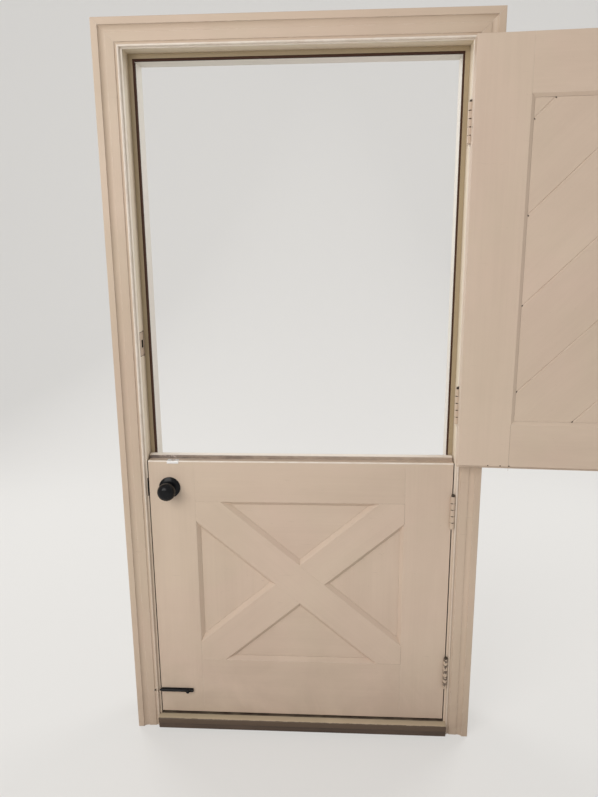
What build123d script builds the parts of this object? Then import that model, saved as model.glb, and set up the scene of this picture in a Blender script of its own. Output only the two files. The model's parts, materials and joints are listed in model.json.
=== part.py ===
from build123d import *

import math
import os

os.makedirs("parts", exist_ok=True)

# Millimetres. X runs right as seen from the room, Y away from the room and Z up.
# X = 0 is the middle of the opening, Y = 0 the room face of the closed leaves, Z = 0 the floor.
# The upper leaf stands open against the room side of the casing, the lower leaf is closed.

# How far a cut runs past the piece that it cuts
CUT_SPARE = 60.0

# Leaves
LEAF_WIDTH = 914.0
LEAF_THICKNESS = 44.5
LOWER_HEIGHT = 864.0
UPPER_HEIGHT = 1134.0
SIDE_GAP = 3.0
HEAD_GAP = 3.0
MEETING_GAP = 3.0
THRESHOLD_GAP = 10.0
TENON_LENGTH = 40.0
TENON_THICKNESS = 14.0
TENON_SHOULDER = 22.0
PANEL_TONGUE = 8.0

# Meeting edges: the lower leaf stands higher on its outer half, and the upper leaf laps it
MEETING_STEP = 12.5
LIP_THICKNESS = 21.5
LIP_CLEARANCE = 1.0
MEETING_EDGE_RADIUS = 3.0

# Lower leaf: four sunk triangles round a crossed brace
LOWER_STILE = 139.0
LOWER_BOTTOM_RAIL = 193.0
LOWER_TOP_RAIL = 129.0
BRACE_WIDTH = 97.0
LOWER_BEVEL_WIDTH = 12.0
LOWER_BEVEL_DEPTH = 12.0

# Upper leaf: slanting boards in one rectangular field
UPPER_STILE = 140.0
UPPER_BOTTOM_RAIL = 134.0
UPPER_TOP_RAIL = 141.5
UPPER_BEVEL_WIDTH = 9.5
UPPER_BEVEL_DEPTH = 6.5
BOARD_WIDTH = 166.9
CORNER_BOARD_WIDTH = 48.1
BOARD_CHAMFER_WIDTH = 1.8
BOARD_CHAMFER_DEPTH = 3.0
BOARD_TONGUE_LENGTH = 6.0
BOARD_TONGUE_THICKNESS = 8.0

# Jambs, and the stops on them that the closed leaves meet
JAMB_DEPTH = 133.0
JAMB_THICKNESS = 19.0
STOP_HEIGHT = 13.0
STOP_GAP = 2.0

# Sill, with horns under the outer moulding, and threshold
SILL_THICKNESS = 22.0
SILL_ROOM_REACH = 20.0
SILL_NOSE_REACH = 62.0
SILL_FALL = 10.0
SILL_HORN = 7.0
SILL_NOSE_RADIUS = 4.0
DRIP_SETBACK = 14.0
DRIP_WIDTH = 5.0
DRIP_DEPTH = 3.0
THRESHOLD_THICKNESS = 18.0
THRESHOLD_ROOM_REACH = 26.0
THRESHOLD_BACK = 70.0
THRESHOLD_NOSE_RADIUS = 5.0

# Room casing, across its face from the opening outwards: bead, hollow, flat, cove, band
CASING_THICKNESS = 17.0
CASING_BEAD = 6.0
CASING_BEAD_HEIGHT = 10.5
CASING_HOLLOW = 6.0
CASING_HOLLOW_HEIGHT = 7.0
CASING_FLAT = 23.0
CASING_FLAT_LOW = 9.5
CASING_FLAT_HIGH = 10.5
CASING_STEP = 1.0
CASING_COVE = 16.5
CASING_COVE_HEIGHT = 15.3
CASING_COVE_BEND = (0.667, 0.25)
CASING_BAND = 18.5
CASING_EDGE_RADIUS = 2.0
HEAD_REVEAL = 3.0

# Outer moulding round the jambs, across its face from the opening outwards
OUTER_MOULDING_WIDTH = 50.0
OUTER_MOULDING_THICKNESS = 32.0
OUTER_MOULDING_EDGE = 17.0
OUTER_MOULDING_ROUND = 14.0
OUTER_MOULDING_BEND = (0.333, 0.667)
OUTER_MOULDING_STEP = 4.0
OUTER_MOULDING_REVEAL = 6.0

# Weatherstrip: a thin carrier on the stop with a soft bulb towards the leaf
STRIP_WIDTH = 22.0
STRIP_THICKNESS = 2.0
BULB_DIAMETER = 5.0
BULB_CLEARANCE = 0.4

# Butt hinges
HINGE_HEIGHT = 102.0
HINGE_PLATE_THICKNESS = 2.5
HINGE_PLATE_DEPTH = 35.0
KNUCKLE_COUNT = 5
KNUCKLE_GAP = 0.3
BARREL_DIAMETER = 14.0
BARREL_TO_LEAF = 1.0
BARREL_TO_CASING = 0.5
PIN_DIAMETER = 6.0
PIN_CLEARANCE = 0.05
PIN_HEAD_DIAMETER = 10.0
PIN_HEAD_HEIGHT = 7.0
PIN_HEAD_ROUND = 3.5
UPPER_HINGE_FROM_TOP = 199.0
UPPER_HINGE_FROM_BOTTOM = 172.0
LOWER_HINGE_FROM_TOP = 151.0
LOWER_HINGE_FROM_BOTTOM = 171.0
OPEN_LEAF_TO_CASING = 3.126

# Knob set and latch in the lower leaf, deadbolt in the upper leaf
BACKSET = 63.0
KNOB_FROM_TOP = 84.0
DEADBOLT_FROM_BOTTOM = 349.0
DEADBOLT_DEPTH = 27.0
CROSS_BORE_DIAMETER = 54.0
CASE_DIAMETER = 25.0
CASE_LENGTH = 76.0
FACEPLATE_HEIGHT = 57.0
FACEPLATE_WIDTH = 25.5
FACEPLATE_THICKNESS = 2.2
BOLT_LENGTH = 40.0
BOLT_THICKNESS = 12.0
LATCH_HEIGHT = 16.0
LATCH_BEVEL = 8.0
DEADBOLT_HEIGHT = 18.0
BOLT_CLEARANCE = 0.3
LATCH_TRAVEL = 11.0
DEADBOLT_TRAVEL = 16.0
POCKET_SPARE = 2.0
SPINDLE_SIDE = 8.0
TURNING_CLEARANCE = 0.3
ROSE_DIAMETER = 65.0
ROSE_HEIGHT = 9.0
ROSE_RIM = 3.0
ROSE_BEND = (0.5, 0.75)
KNOB_NECK_DIAMETER = 22.0
KNOB_DIAMETER = 54.0
KNOB_BODY_DEPTH = 40.0
KNOB_PROJECTION = 63.0
TURN_PLATE_DIAMETER = 62.0
TURN_PLATE_HEIGHT = 6.0
TURN_PLATE_CHAMFER = 3.0
TURN_STEM_DIAMETER = 14.0
TURN_GRIP_LENGTH = 34.0
TURN_GRIP_WIDTH = 9.0
TURN_GRIP_HEIGHT = 16.0
TAILPIECE_WIDTH = 8.0
TAILPIECE_THICKNESS = 3.0
CYLINDER_HEIGHT = 14.0
CYLINDER_FACE_DIAMETER = 40.0
KEYWAY_HEIGHT = 9.0
KEYWAY_WIDTH = 1.6
KEYWAY_DEPTH = 6.0

# Strikes in the jamb
LATCH_STRIKE_WIDTH = 36.0
LATCH_STRIKE_THICKNESS = 1.6
LATCH_STRIKE_LIP = 2.0
DEADBOLT_STRIKE_HEIGHT = 70.0
DEADBOLT_STRIKE_WIDTH = 42.0
DEADBOLT_STRIKE_THICKNESS = 2.0
STRIKE_HOLE_SPARE = 2.5

# Flush bolt in the upper leaf, which drops into the keeper on the lower leaf
JOIN_BOLT_FROM_EDGE = 75.3
JOIN_ROD_DIAMETER = 8.0
JOIN_ROD_DEPTH = 10.5
JOIN_ROD_LENGTH = 105.0
JOIN_ROD_SETBACK = 1.0
JOIN_ROD_CLEARANCE = 0.3
JOIN_TRAVEL = 14.0
JOIN_PLATE_WIDTH = 24.0
JOIN_PLATE_HEIGHT = 130.0
JOIN_PLATE_THICKNESS = 2.0
JOIN_PLATE_FROM_BOTTOM = 10.0
JOIN_THUMB_FROM_BOTTOM = 75.0
JOIN_THUMB_WIDTH = 7.0
JOIN_THUMB_HEIGHT = 9.0
JOIN_THUMB_REACH = 4.0
KEEPER_WIDTH = 35.0
KEEPER_DEPTH = 19.0
KEEPER_THICKNESS = 1.6
KEEPER_LIP = 8.0
KEEPER_EDGE_RADIUS = 1.4
KEEPER_HOLE_DIAMETER = 13.0

# Slide bolt at the foot of the lower leaf
SLIDE_FROM_BOTTOM = 80.0
SLIDE_FROM_EDGE = 2.0
SLIDE_LENGTH = 104.0
SLIDE_PLATE_HEIGHT = 12.0
SLIDE_PLATE_THICKNESS = 1.7
SLIDE_ROD_DIAMETER = 6.0
SLIDE_ROD_CLEARANCE = 0.3
SLIDE_BARREL_WALL = 1.5
SLIDE_TIP_PAST_EDGE = 5.0
SLIDE_FORWARD = 14.0
SLIDE_BACK = 8.0
SLIDE_KNOB_FROM_EDGE = 89.0
SLIDE_ROD_PAST_KNOB = 4.5
SLIDE_NECK_DIAMETER = 4.5
SLIDE_KNOB_DIAMETER = 11.5
SLIDE_KNOB_HEIGHT = 5.0
SLIDE_KNOB_ROUND = 2.5
SLIDE_HOLE_SPARE = 1.5

# Places worked out from the sizes above
LEAF_EDGE = LEAF_WIDTH / 2
REBATE_X = LEAF_EDGE + SIDE_GAP
STOP_X = REBATE_X - STOP_HEIGHT
JAMB_BACK_X = REBATE_X + JAMB_THICKNESS
REBATE_Y = LEAF_THICKNESS + STOP_GAP
THRESHOLD_TOP = SILL_THICKNESS + THRESHOLD_THICKNESS
LOWER_BOTTOM = THRESHOLD_TOP + THRESHOLD_GAP
LOWER_TOP = LOWER_BOTTOM + LOWER_HEIGHT
UPPER_BOTTOM = LOWER_TOP + MEETING_GAP
UPPER_TOP = UPPER_BOTTOM + UPPER_HEIGHT
HEAD_REBATE_Z = UPPER_TOP + HEAD_GAP
HEAD_STOP_Z = HEAD_REBATE_Z - STOP_HEIGHT
HEAD_TOP = HEAD_REBATE_Z + JAMB_THICKNESS
STEP_Y = LIP_THICKNESS + LIP_CLEARANCE

HINGE_X = REBATE_X - SIDE_GAP / 2
HINGE_Y = -(BARREL_DIAMETER / 2 + BARREL_TO_LEAF)
HINGE_AXIS = Axis((HINGE_X, HINGE_Y, 0), (0, 0, 1))
CASING_WIDTH = CASING_BEAD + CASING_HOLLOW + CASING_FLAT + CASING_COVE + CASING_BAND
CASING_X = HINGE_X + BARREL_DIAMETER / 2 + BARREL_TO_CASING
CASING_Z = HEAD_REBATE_Z + HEAD_REVEAL
CASING_BAND_X = CASING_X + CASING_WIDTH - CASING_BAND
OPEN_RISE = CASING_THICKNESS + OPEN_LEAF_TO_CASING + 2 * HINGE_Y
OPEN_ANGLE = 180 - math.degrees(math.atan2(OPEN_RISE, CASING_BAND_X - HINGE_X))

LOWER_FIELD_X = LEAF_EDGE - LOWER_STILE
LOWER_FIELD_Z = (LOWER_BOTTOM + LOWER_BOTTOM_RAIL, LOWER_TOP - LOWER_TOP_RAIL)
UPPER_FIELD_X = LEAF_EDGE - UPPER_STILE
UPPER_FIELD_Z = (UPPER_BOTTOM + UPPER_BOTTOM_RAIL, UPPER_TOP - UPPER_TOP_RAIL)
LOCK_X = -LEAF_EDGE + BACKSET
LATCH_Y = LEAF_THICKNESS / 2
LATCH_Z = LOWER_TOP - KNOB_FROM_TOP
DEADBOLT_Z = UPPER_BOTTOM + DEADBOLT_FROM_BOTTOM
JOIN_X = -LEAF_EDGE + JOIN_BOLT_FROM_EDGE
UPPER_HINGES = (UPPER_TOP - UPPER_HINGE_FROM_TOP, UPPER_BOTTOM + UPPER_HINGE_FROM_BOTTOM)
LOWER_HINGES = (LOWER_TOP - LOWER_HINGE_FROM_TOP, LOWER_BOTTOM + LOWER_HINGE_FROM_BOTTOM)

SLIDE_Z = LOWER_BOTTOM + SLIDE_FROM_BOTTOM
SLIDE_BORE_RADIUS = SLIDE_ROD_DIAMETER / 2 + SLIDE_ROD_CLEARANCE
SLIDE_Y = -(SLIDE_PLATE_THICKNESS + SLIDE_BORE_RADIUS)
SLIDE_START_X = -LEAF_EDGE + SLIDE_FROM_EDGE
SLIDE_END_X = SLIDE_START_X + SLIDE_LENGTH
SLIDE_KNOB_X = -LEAF_EDGE + SLIDE_KNOB_FROM_EDGE


# Plain forms

def block(x_span, y_span, z_span):
    """A square-edged piece between the low and high ends of three spans."""
    spans = (x_span, y_span, z_span)
    middle = [(low + high) / 2 for low, high in spans]
    size = [high - low for low, high in spans]
    return Pos(*middle) * Box(*size)


def rod(start, end, radius):
    """A round bar between two points."""
    start = Vector(*start)
    way = Vector(*end) - start
    foot = Plane(origin=start, z_dir=way)
    return foot * Cylinder(radius, way.length, align=(Align.CENTER, Align.CENTER, Align.MIN))


def front_face(outline, y):
    """A flat face drawn in X and Z, as seen from the room, at a depth y."""
    return Plane.XZ.offset(-y) * Polygon(*outline, align=None)


def front_prism(outline, y_span):
    """A piece whose outline is drawn in X and Z, as seen from the room."""
    return extrude(front_face(outline, y_span[0]), amount=y_span[1] - y_span[0], dir=(0, 1, 0))


def plan_prism(outline, z_span):
    """A piece whose outline is drawn in X and Y, as seen from above."""
    face = Pos(0, 0, z_span[0]) * Polygon(*outline, align=None)
    return extrude(face, amount=z_span[1] - z_span[0], dir=(0, 0, 1))


def side_prism(face, x_span):
    """A piece whose end face is drawn in Y and Z, as seen along the opening."""
    return extrude(Plane.YZ.offset(x_span[0]) * face, amount=x_span[1] - x_span[0], dir=(1, 0, 0))


def inset(outline, depth):
    """A convex outline with every side moved inwards by depth."""
    corners = [Vector(*point) for point in outline]
    moved = []
    for index, corner in enumerate(corners):
        back = (corners[index - 1] - corner).normalized()
        ahead = (corners[(index + 1) % len(corners)] - corner).normalized()
        half_angle = back.get_angle(ahead) / 2
        bisector = (back + ahead).normalized()
        point = corner + bisector * (depth / math.sin(math.radians(half_angle)))
        moved.append((point.X, point.Y))
    return moved


def bent(start, end, shares):
    """An arc between two points of a section, through a point at these shares of the way."""
    across, up = shares
    bend = (start[0] + across * (end[0] - start[0]), start[1] + up * (end[1] - start[1]))
    return ThreePointArc(start, bend, end)


def turned(half_section, centre, outwards):
    """A piece turned round a Y axis, drawn as radius and height from the leaf's face."""
    base = Plane(origin=centre, x_dir=(1, 0, 0), z_dir=(0, outwards, 0))
    return base * revolve(Plane.XZ * half_section, Axis.Z)


def in_open_place(piece):
    """A piece of the upper leaf, moved from its closed place to its open one."""
    return piece.rotate(HINGE_AXIS, OPEN_ANGLE)


# Panelled leaves

def opening_waste(field, bevel_width, bevel_depth):
    """What a field takes away from the frame round it: bevels on both faces, and the groove."""
    sunk = inset(field, bevel_width)
    waste = [panel_blank(field, bevel_width, bevel_depth)]
    for face_y, floor_y in ((0, bevel_depth), (LEAF_THICKNESS, LEAF_THICKNESS - bevel_depth)):
        waste.append(loft([front_face(field, face_y), front_face(sunk, floor_y)], ruled=True))
    return waste


def panel_blank(field, bevel_width, bevel_depth):
    """The panel with the tongue that the grooves hold."""
    outline = inset(field, bevel_width - PANEL_TONGUE)
    return front_prism(outline, (bevel_depth, LEAF_THICKNESS - bevel_depth))


def lip(field, side, bevel_width):
    """The strip of a member, mitred at its ends, that carries the bevel along one side."""
    sunk = inset(field, bevel_width)
    after = (side + 1) % len(field)
    return front_prism([field[side], field[after], sunk[after], sunk[side]], (0, LEAF_THICKNESS))


def tenon(x_shoulder, towards, z_span):
    """A rail's tenon, from its shoulder into the stile."""
    x_span = sorted((x_shoulder, x_shoulder + towards * TENON_LENGTH))
    y_span = ((LEAF_THICKNESS - TENON_THICKNESS) / 2, (LEAF_THICKNESS + TENON_THICKNESS) / 2)
    return block(x_span, y_span, (z_span[0] + TENON_SHOULDER, z_span[1] - TENON_SHOULDER))


def with_tenons(rail, field_x, z_span):
    """A rail with a tenon at each end."""
    return rail + tenon(field_x, 1, z_span) + tenon(-field_x, -1, z_span)


def lower_triangles():
    """The outlines of the four sunk fields of the lower leaf."""
    low, high = LOWER_FIELD_Z
    middle = (low + high) / 2
    slope = math.atan2(high - low, 2 * LOWER_FIELD_X)
    half_rise = BRACE_WIDTH / 2 / math.cos(slope)
    half_run = BRACE_WIDTH / 2 / math.sin(slope)
    far_x = LOWER_FIELD_X - half_run
    far_z = (high - low) / 2 - half_rise
    top = [(-far_x, high), (0, middle + half_rise), (far_x, high)]
    left = [(-LOWER_FIELD_X, middle + far_z), (-LOWER_FIELD_X, middle - far_z), (-half_run, middle)]
    right = [(LOWER_FIELD_X, middle - far_z), (LOWER_FIELD_X, middle + far_z), (half_run, middle)]
    bottom = [(-far_x, low), (far_x, low), (0, middle - half_rise)]
    return {"top": top, "left": left, "right": right, "bottom": bottom}


# The member along each side of each field, in the order of its outline
LOWER_FIELD_MEMBERS = {
    "top": ("falling_brace", "rising_brace", "top_rail"),
    "left": ("lock_stile", "rising_brace", "falling_brace"),
    "right": ("hinge_stile", "rising_brace", "falling_brace"),
    "bottom": ("bottom_rail", "falling_brace", "rising_brace"),
}


def lower_brace_blanks(fields):
    """Two full-length braces, halved into each other where they cross."""
    low, high = LOWER_FIELD_Z
    top, left, right, bottom = (fields[name] for name in ("top", "left", "right", "bottom"))
    rising = [(-LOWER_FIELD_X, low), bottom[0], right[1], (LOWER_FIELD_X, high), top[2], left[1]]
    falling = [(LOWER_FIELD_X, low), right[0], top[0], (-LOWER_FIELD_X, high), left[0], bottom[1]]
    crossing = [top[1], right[2], bottom[2], left[2]]
    half = LEAF_THICKNESS / 2
    return {
        "rising_brace": front_prism(rising, (0, LEAF_THICKNESS)) - front_prism(crossing, (0, half)),
        "falling_brace": front_prism(falling, (0, LEAF_THICKNESS))
        - front_prism(crossing, (half, LEAF_THICKNESS)),
    }


def lower_top_waste():
    """What is cut off above the stepped top edge of the lower leaf, its front edge rounded."""
    top, step_top, radius = LOWER_TOP, LOWER_TOP + MEETING_STEP, MEETING_EDGE_RADIUS
    path = Curve() + [
        Polyline((-radius, top - radius), (0, top - radius)),
        RadiusArc((0, top - radius), (radius, top), radius),
        Polyline((radius, top), (STEP_Y, top), (STEP_Y, step_top - radius)),
        RadiusArc((STEP_Y, step_top - radius), (STEP_Y + radius, step_top), radius),
        Polyline(
            (STEP_Y + radius, step_top),
            (LEAF_THICKNESS + radius, step_top),
            (LEAF_THICKNESS + radius, step_top + CUT_SPARE),
            (-radius, step_top + CUT_SPARE),
            (-radius, top - radius),
        ),
    ]
    return side_prism(make_face(path), (-LEAF_WIDTH, LEAF_WIDTH))


def upper_bottom_waste():
    """What is cut off below the outer half of the upper leaf's bottom edge."""
    y_span = (LIP_THICKNESS, LIP_THICKNESS + CUT_SPARE)
    z_span = (UPPER_BOTTOM - CUT_SPARE, UPPER_BOTTOM + MEETING_STEP)
    return block((-LEAF_WIDTH, LEAF_WIDTH), y_span, z_span)


def lower_leaf():
    """Stiles, rails, crossed brace and four panels of the lower leaf."""
    fields = lower_triangles()
    bottom, step_top = LOWER_BOTTOM, LOWER_TOP + MEETING_STEP
    field_low, field_high = LOWER_FIELD_Z
    depth = (0, LEAF_THICKNESS)
    inside = (-LOWER_FIELD_X, LOWER_FIELD_X)
    pieces = {
        "hinge_stile": block((LOWER_FIELD_X, LEAF_EDGE), depth, (bottom, step_top)),
        "lock_stile": block((-LEAF_EDGE, -LOWER_FIELD_X), depth, (bottom, step_top)),
        "bottom_rail": block(inside, depth, (bottom, field_low)),
        "top_rail": block(inside, depth, (field_high, step_top)),
    }
    pieces.update(lower_brace_blanks(fields))
    for name, members in LOWER_FIELD_MEMBERS.items():
        for side, member in enumerate(members):
            pieces[member] += lip(fields[name], side, LOWER_BEVEL_WIDTH)
    for field in fields.values():
        waste = opening_waste(field, LOWER_BEVEL_WIDTH, LOWER_BEVEL_DEPTH)
        for member in pieces:
            pieces[member] -= waste
    rail_ends = {"bottom_rail": (bottom, field_low), "top_rail": (field_high, LOWER_TOP)}
    for name, z_span in rail_ends.items():
        pieces[name] = with_tenons(pieces[name], LOWER_FIELD_X, z_span)
        pieces["hinge_stile"] -= tenon(LOWER_FIELD_X, 1, z_span)
        pieces["lock_stile"] -= tenon(-LOWER_FIELD_X, -1, z_span)
    for name in ("hinge_stile", "lock_stile", "top_rail"):
        pieces[name] -= lower_top_waste()
    for name, field in fields.items():
        pieces[name + "_panel"] = panel_blank(field, LOWER_BEVEL_WIDTH, LOWER_BEVEL_DEPTH)
    return pieces


def board_section(near, far, is_first, is_last):
    """A board's section, across its width and through the leaf, tongued and chamfered."""
    front, back = UPPER_BEVEL_DEPTH, LEAF_THICKNESS - UPPER_BEVEL_DEPTH
    tongue_low = (front + back - BOARD_TONGUE_THICKNESS) / 2
    tongue_high = tongue_low + BOARD_TONGUE_THICKNESS
    flat_near, flat_far = near + BOARD_CHAMFER_WIDTH, far - BOARD_CHAMFER_WIDTH
    edge_low, edge_high = front + BOARD_CHAMFER_DEPTH, back - BOARD_CHAMFER_DEPTH
    far_reach = far if is_last else far + BOARD_TONGUE_LENGTH
    near_reach = near if is_first else near + BOARD_TONGUE_LENGTH
    outline = [(flat_near, front), (flat_far, front), (far, edge_low)]
    outline += [(far, tongue_low), (far_reach, tongue_low), (far_reach, tongue_high), (far, tongue_high)]
    outline += [(far, edge_high), (flat_far, back), (flat_near, back), (near, edge_high)]
    outline += [(near, tongue_high), (near_reach, tongue_high), (near_reach, tongue_low)]
    outline += [(near, tongue_low), (near, edge_low)]
    return list(dict.fromkeys(outline))


def upper_boards(field):
    """The boards of the upper leaf, numbered from the top corner on the hinge side."""
    width, height = 2 * UPPER_FIELD_X, UPPER_FIELD_Z[1] - UPPER_FIELD_Z[0]
    diagonal = (width + height) / math.sqrt(2)
    count = 1 + round((diagonal - CORNER_BOARD_WIDTH) / BOARD_WIDTH)
    across = Plane(origin=(UPPER_FIELD_X, 0, UPPER_FIELD_Z[1]), x_dir=(-1, 0, -1), z_dir=(1, 0, -1))
    blank = panel_blank(field, UPPER_BEVEL_WIDTH, UPPER_BEVEL_DEPTH)
    boards = {}
    for index in range(count):
        is_first, is_last = index == 0, index == count - 1
        near = -PANEL_TONGUE if is_first else CORNER_BOARD_WIDTH + (index - 1) * BOARD_WIDTH
        far = diagonal + PANEL_TONGUE if is_last else CORNER_BOARD_WIDTH + index * BOARD_WIDTH
        section = across * Polygon(*board_section(near, far, is_first, is_last), align=None)
        boards[f"board_{index + 1}"] = extrude(section, amount=width + height, both=True) & blank
    return boards


def upper_leaf():
    """Stiles, rails and boards of the upper leaf, in its closed place."""
    low, high = UPPER_FIELD_Z
    field = [(-UPPER_FIELD_X, low), (UPPER_FIELD_X, low), (UPPER_FIELD_X, high), (-UPPER_FIELD_X, high)]
    depth = (0, LEAF_THICKNESS)
    inside = (-UPPER_FIELD_X, UPPER_FIELD_X)
    pieces = {
        "bottom_rail": block(inside, depth, (UPPER_BOTTOM, low)),
        "hinge_stile": block((UPPER_FIELD_X, LEAF_EDGE), depth, (UPPER_BOTTOM, UPPER_TOP)),
        "top_rail": block(inside, depth, (high, UPPER_TOP)),
        "lock_stile": block((-LEAF_EDGE, -UPPER_FIELD_X), depth, (UPPER_BOTTOM, UPPER_TOP)),
    }
    waste = opening_waste(field, UPPER_BEVEL_WIDTH, UPPER_BEVEL_DEPTH)
    for side, member in enumerate(pieces):
        pieces[member] = pieces[member] + lip(field, side, UPPER_BEVEL_WIDTH) - waste
    for name, z_span in {"bottom_rail": (UPPER_BOTTOM, low), "top_rail": (high, UPPER_TOP)}.items():
        pieces[name] = with_tenons(pieces[name], UPPER_FIELD_X, z_span)
        pieces["hinge_stile"] -= tenon(UPPER_FIELD_X, 1, z_span)
        pieces["lock_stile"] -= tenon(-UPPER_FIELD_X, -1, z_span)
    for name in ("bottom_rail", "hinge_stile", "lock_stile"):
        pieces[name] -= upper_bottom_waste()
    pieces.update(upper_boards(field))
    return pieces


# Frame

def side_jamb(side, base):
    """A side jamb, its foot cut to the fall of the sill; side is 1 at the hinges, -1 at the strikes."""
    x_span = sorted((side * REBATE_X, side * JAMB_BACK_X))
    return block(x_span, (0, JAMB_DEPTH), (0, HEAD_REBATE_Z)) - base


def head_jamb():
    """The jamb over the leaves, across the tops of the side jambs."""
    return block((-JAMB_BACK_X, JAMB_BACK_X), (0, JAMB_DEPTH), (HEAD_REBATE_Z, HEAD_TOP))


def door_stops(base):
    """The stops that the closed leaves meet: one down each side jamb and one under the head."""
    y_span = (REBATE_Y, JAMB_DEPTH)
    head = block((-REBATE_X, REBATE_X), y_span, (HEAD_STOP_Z, HEAD_REBATE_Z))
    side = block((STOP_X, REBATE_X), y_span, (0, HEAD_STOP_Z)) - base
    return [side, side.mirror(Plane.YZ), head]


def sill():
    """The sill: level under the leaves, falling outwards, with horns and a drip groove."""
    nose_y = JAMB_DEPTH + SILL_NOSE_REACH
    nose_z = SILL_THICKNESS - SILL_FALL
    corners = [(-SILL_ROOM_REACH, 0), (-SILL_ROOM_REACH, SILL_THICKNESS)]
    corners += [(THRESHOLD_BACK, SILL_THICKNESS), (nose_y, nose_z), (nose_y, 0)]
    drip_y = nose_y - DRIP_SETBACK
    horn_x = STOP_X + OUTER_MOULDING_REVEAL + OUTER_MOULDING_WIDTH + SILL_HORN
    body = side_prism(Polygon(*corners, align=None), (-horn_x, horn_x))
    body -= block((-horn_x, horn_x), (drip_y - DRIP_WIDTH, drip_y), (0, DRIP_DEPTH))
    nose = body.edges().filter_by(Axis.X).group_by(Axis.Y)[-1].sort_by(Axis.Z)[-1]
    body = fillet(nose, SILL_NOSE_RADIUS)
    for side in (-1, 1):
        beside_casing = sorted((side * CASING_X, side * (horn_x + CUT_SPARE)))
        beside_jamb = sorted((side * JAMB_BACK_X, side * (horn_x + CUT_SPARE)))
        body -= block(beside_casing, (-CUT_SPARE, 0), (0, CUT_SPARE))
        body -= block(beside_jamb, (-CUT_SPARE, JAMB_DEPTH), (0, CUT_SPARE))
    return body


def threshold(uprights):
    """The raised board under the lower leaf, notched round the uprights and rounded at its nose."""
    y_span = (-THRESHOLD_ROOM_REACH, THRESHOLD_BACK)
    body = block((-CASING_X, CASING_X), y_span, (SILL_THICKNESS, THRESHOLD_TOP))
    nose = body.edges().filter_by(Axis.X).group_by(Axis.Y)[0].sort_by(Axis.Z)[-1]
    back = body.edges().filter_by(Axis.X).group_by(Axis.Y)[-1].sort_by(Axis.Z)[-1]
    body = fillet(nose, THRESHOLD_NOSE_RADIUS)
    back_edge = body.edges().filter_by(Axis.X).sort_by_distance(back.center())[0]
    body = chamfer(back_edge, THRESHOLD_NOSE_RADIUS)
    for upright in uprights:
        body -= upright
    return body


def casing_section():
    """The casing's section: X across from the opening, Y out from the wall."""
    hollow_x = CASING_BEAD
    flat_x = hollow_x + CASING_HOLLOW
    cove_x = flat_x + CASING_FLAT
    band_x = cove_x + CASING_COVE
    foot = CASING_BEAD_HEIGHT - CASING_BEAD / 2
    hollow_end = CASING_FLAT_LOW - CASING_STEP
    hollow_bend = ((hollow_x + flat_x) / 2, CASING_HOLLOW_HEIGHT)
    cove_foot = CASING_FLAT_HIGH - CASING_STEP
    edge_x, edge_y = CASING_WIDTH - CASING_EDGE_RADIUS, CASING_THICKNESS - CASING_EDGE_RADIUS
    path = Curve() + [
        Line((0, 0), (0, foot)),
        ThreePointArc((0, foot), (CASING_BEAD / 2, CASING_BEAD_HEIGHT), (hollow_x, foot)),
        ThreePointArc((hollow_x, foot), hollow_bend, (flat_x, hollow_end)),
        Polyline((flat_x, hollow_end), (flat_x, CASING_FLAT_LOW), (cove_x, CASING_FLAT_HIGH)),
        Line((cove_x, CASING_FLAT_HIGH), (cove_x, cove_foot)),
        bent((cove_x, cove_foot), (band_x, CASING_COVE_HEIGHT), CASING_COVE_BEND),
        Polyline((band_x, CASING_COVE_HEIGHT), (band_x, CASING_THICKNESS), (edge_x, CASING_THICKNESS)),
        RadiusArc((edge_x, CASING_THICKNESS), (CASING_WIDTH, edge_y), CASING_EDGE_RADIUS),
        Polyline((CASING_WIDTH, edge_y), (CASING_WIDTH, 0), (0, 0)),
    ]
    return make_face(path)


def outer_moulding_section():
    """The outer moulding's section: X across from the opening, Y out from the wall."""
    round_x = OUTER_MOULDING_ROUND
    round_y = OUTER_MOULDING_THICKNESS - OUTER_MOULDING_STEP
    path = Curve() + [
        Line((0, 0), (0, OUTER_MOULDING_EDGE)),
        bent((0, OUTER_MOULDING_EDGE), (round_x, round_y), OUTER_MOULDING_BEND),
        Polyline(
            (round_x, round_y),
            (round_x, OUTER_MOULDING_THICKNESS),
            (OUTER_MOULDING_WIDTH, OUTER_MOULDING_THICKNESS),
            (OUTER_MOULDING_WIDTH, 0),
            (0, 0),
        ),
    ]
    return make_face(path)


def mitred_surround(section, width, inner_x, inner_z, face_y, outwards):
    """Two legs and a head of one moulding, mitred at the top corners."""
    outer_x, outer_z = inner_x + width, inner_z + width
    reach = (face_y - CUT_SPARE, face_y + CUT_SPARE)
    leg_plane = Plane(origin=(inner_x, face_y, 0), x_dir=(1, 0, 0), z_dir=(0, 0, outwards))
    leg = extrude(leg_plane * section, amount=outer_z, dir=(0, 0, 1))
    leg &= front_prism([(inner_x, 0), (outer_x, 0), (outer_x, outer_z), (inner_x, inner_z)], reach)
    head_plane = Plane(origin=(-outer_x, face_y, inner_z), x_dir=(0, 0, 1), z_dir=(-outwards, 0, 0))
    head = extrude(head_plane * section, amount=2 * outer_x, dir=(1, 0, 0))
    corners = [(-outer_x, outer_z), (-inner_x, inner_z), (inner_x, inner_z), (outer_x, outer_z)]
    head &= front_prism(corners, reach)
    return {"left": leg.mirror(Plane.YZ), "right": leg, "head": head}


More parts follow.
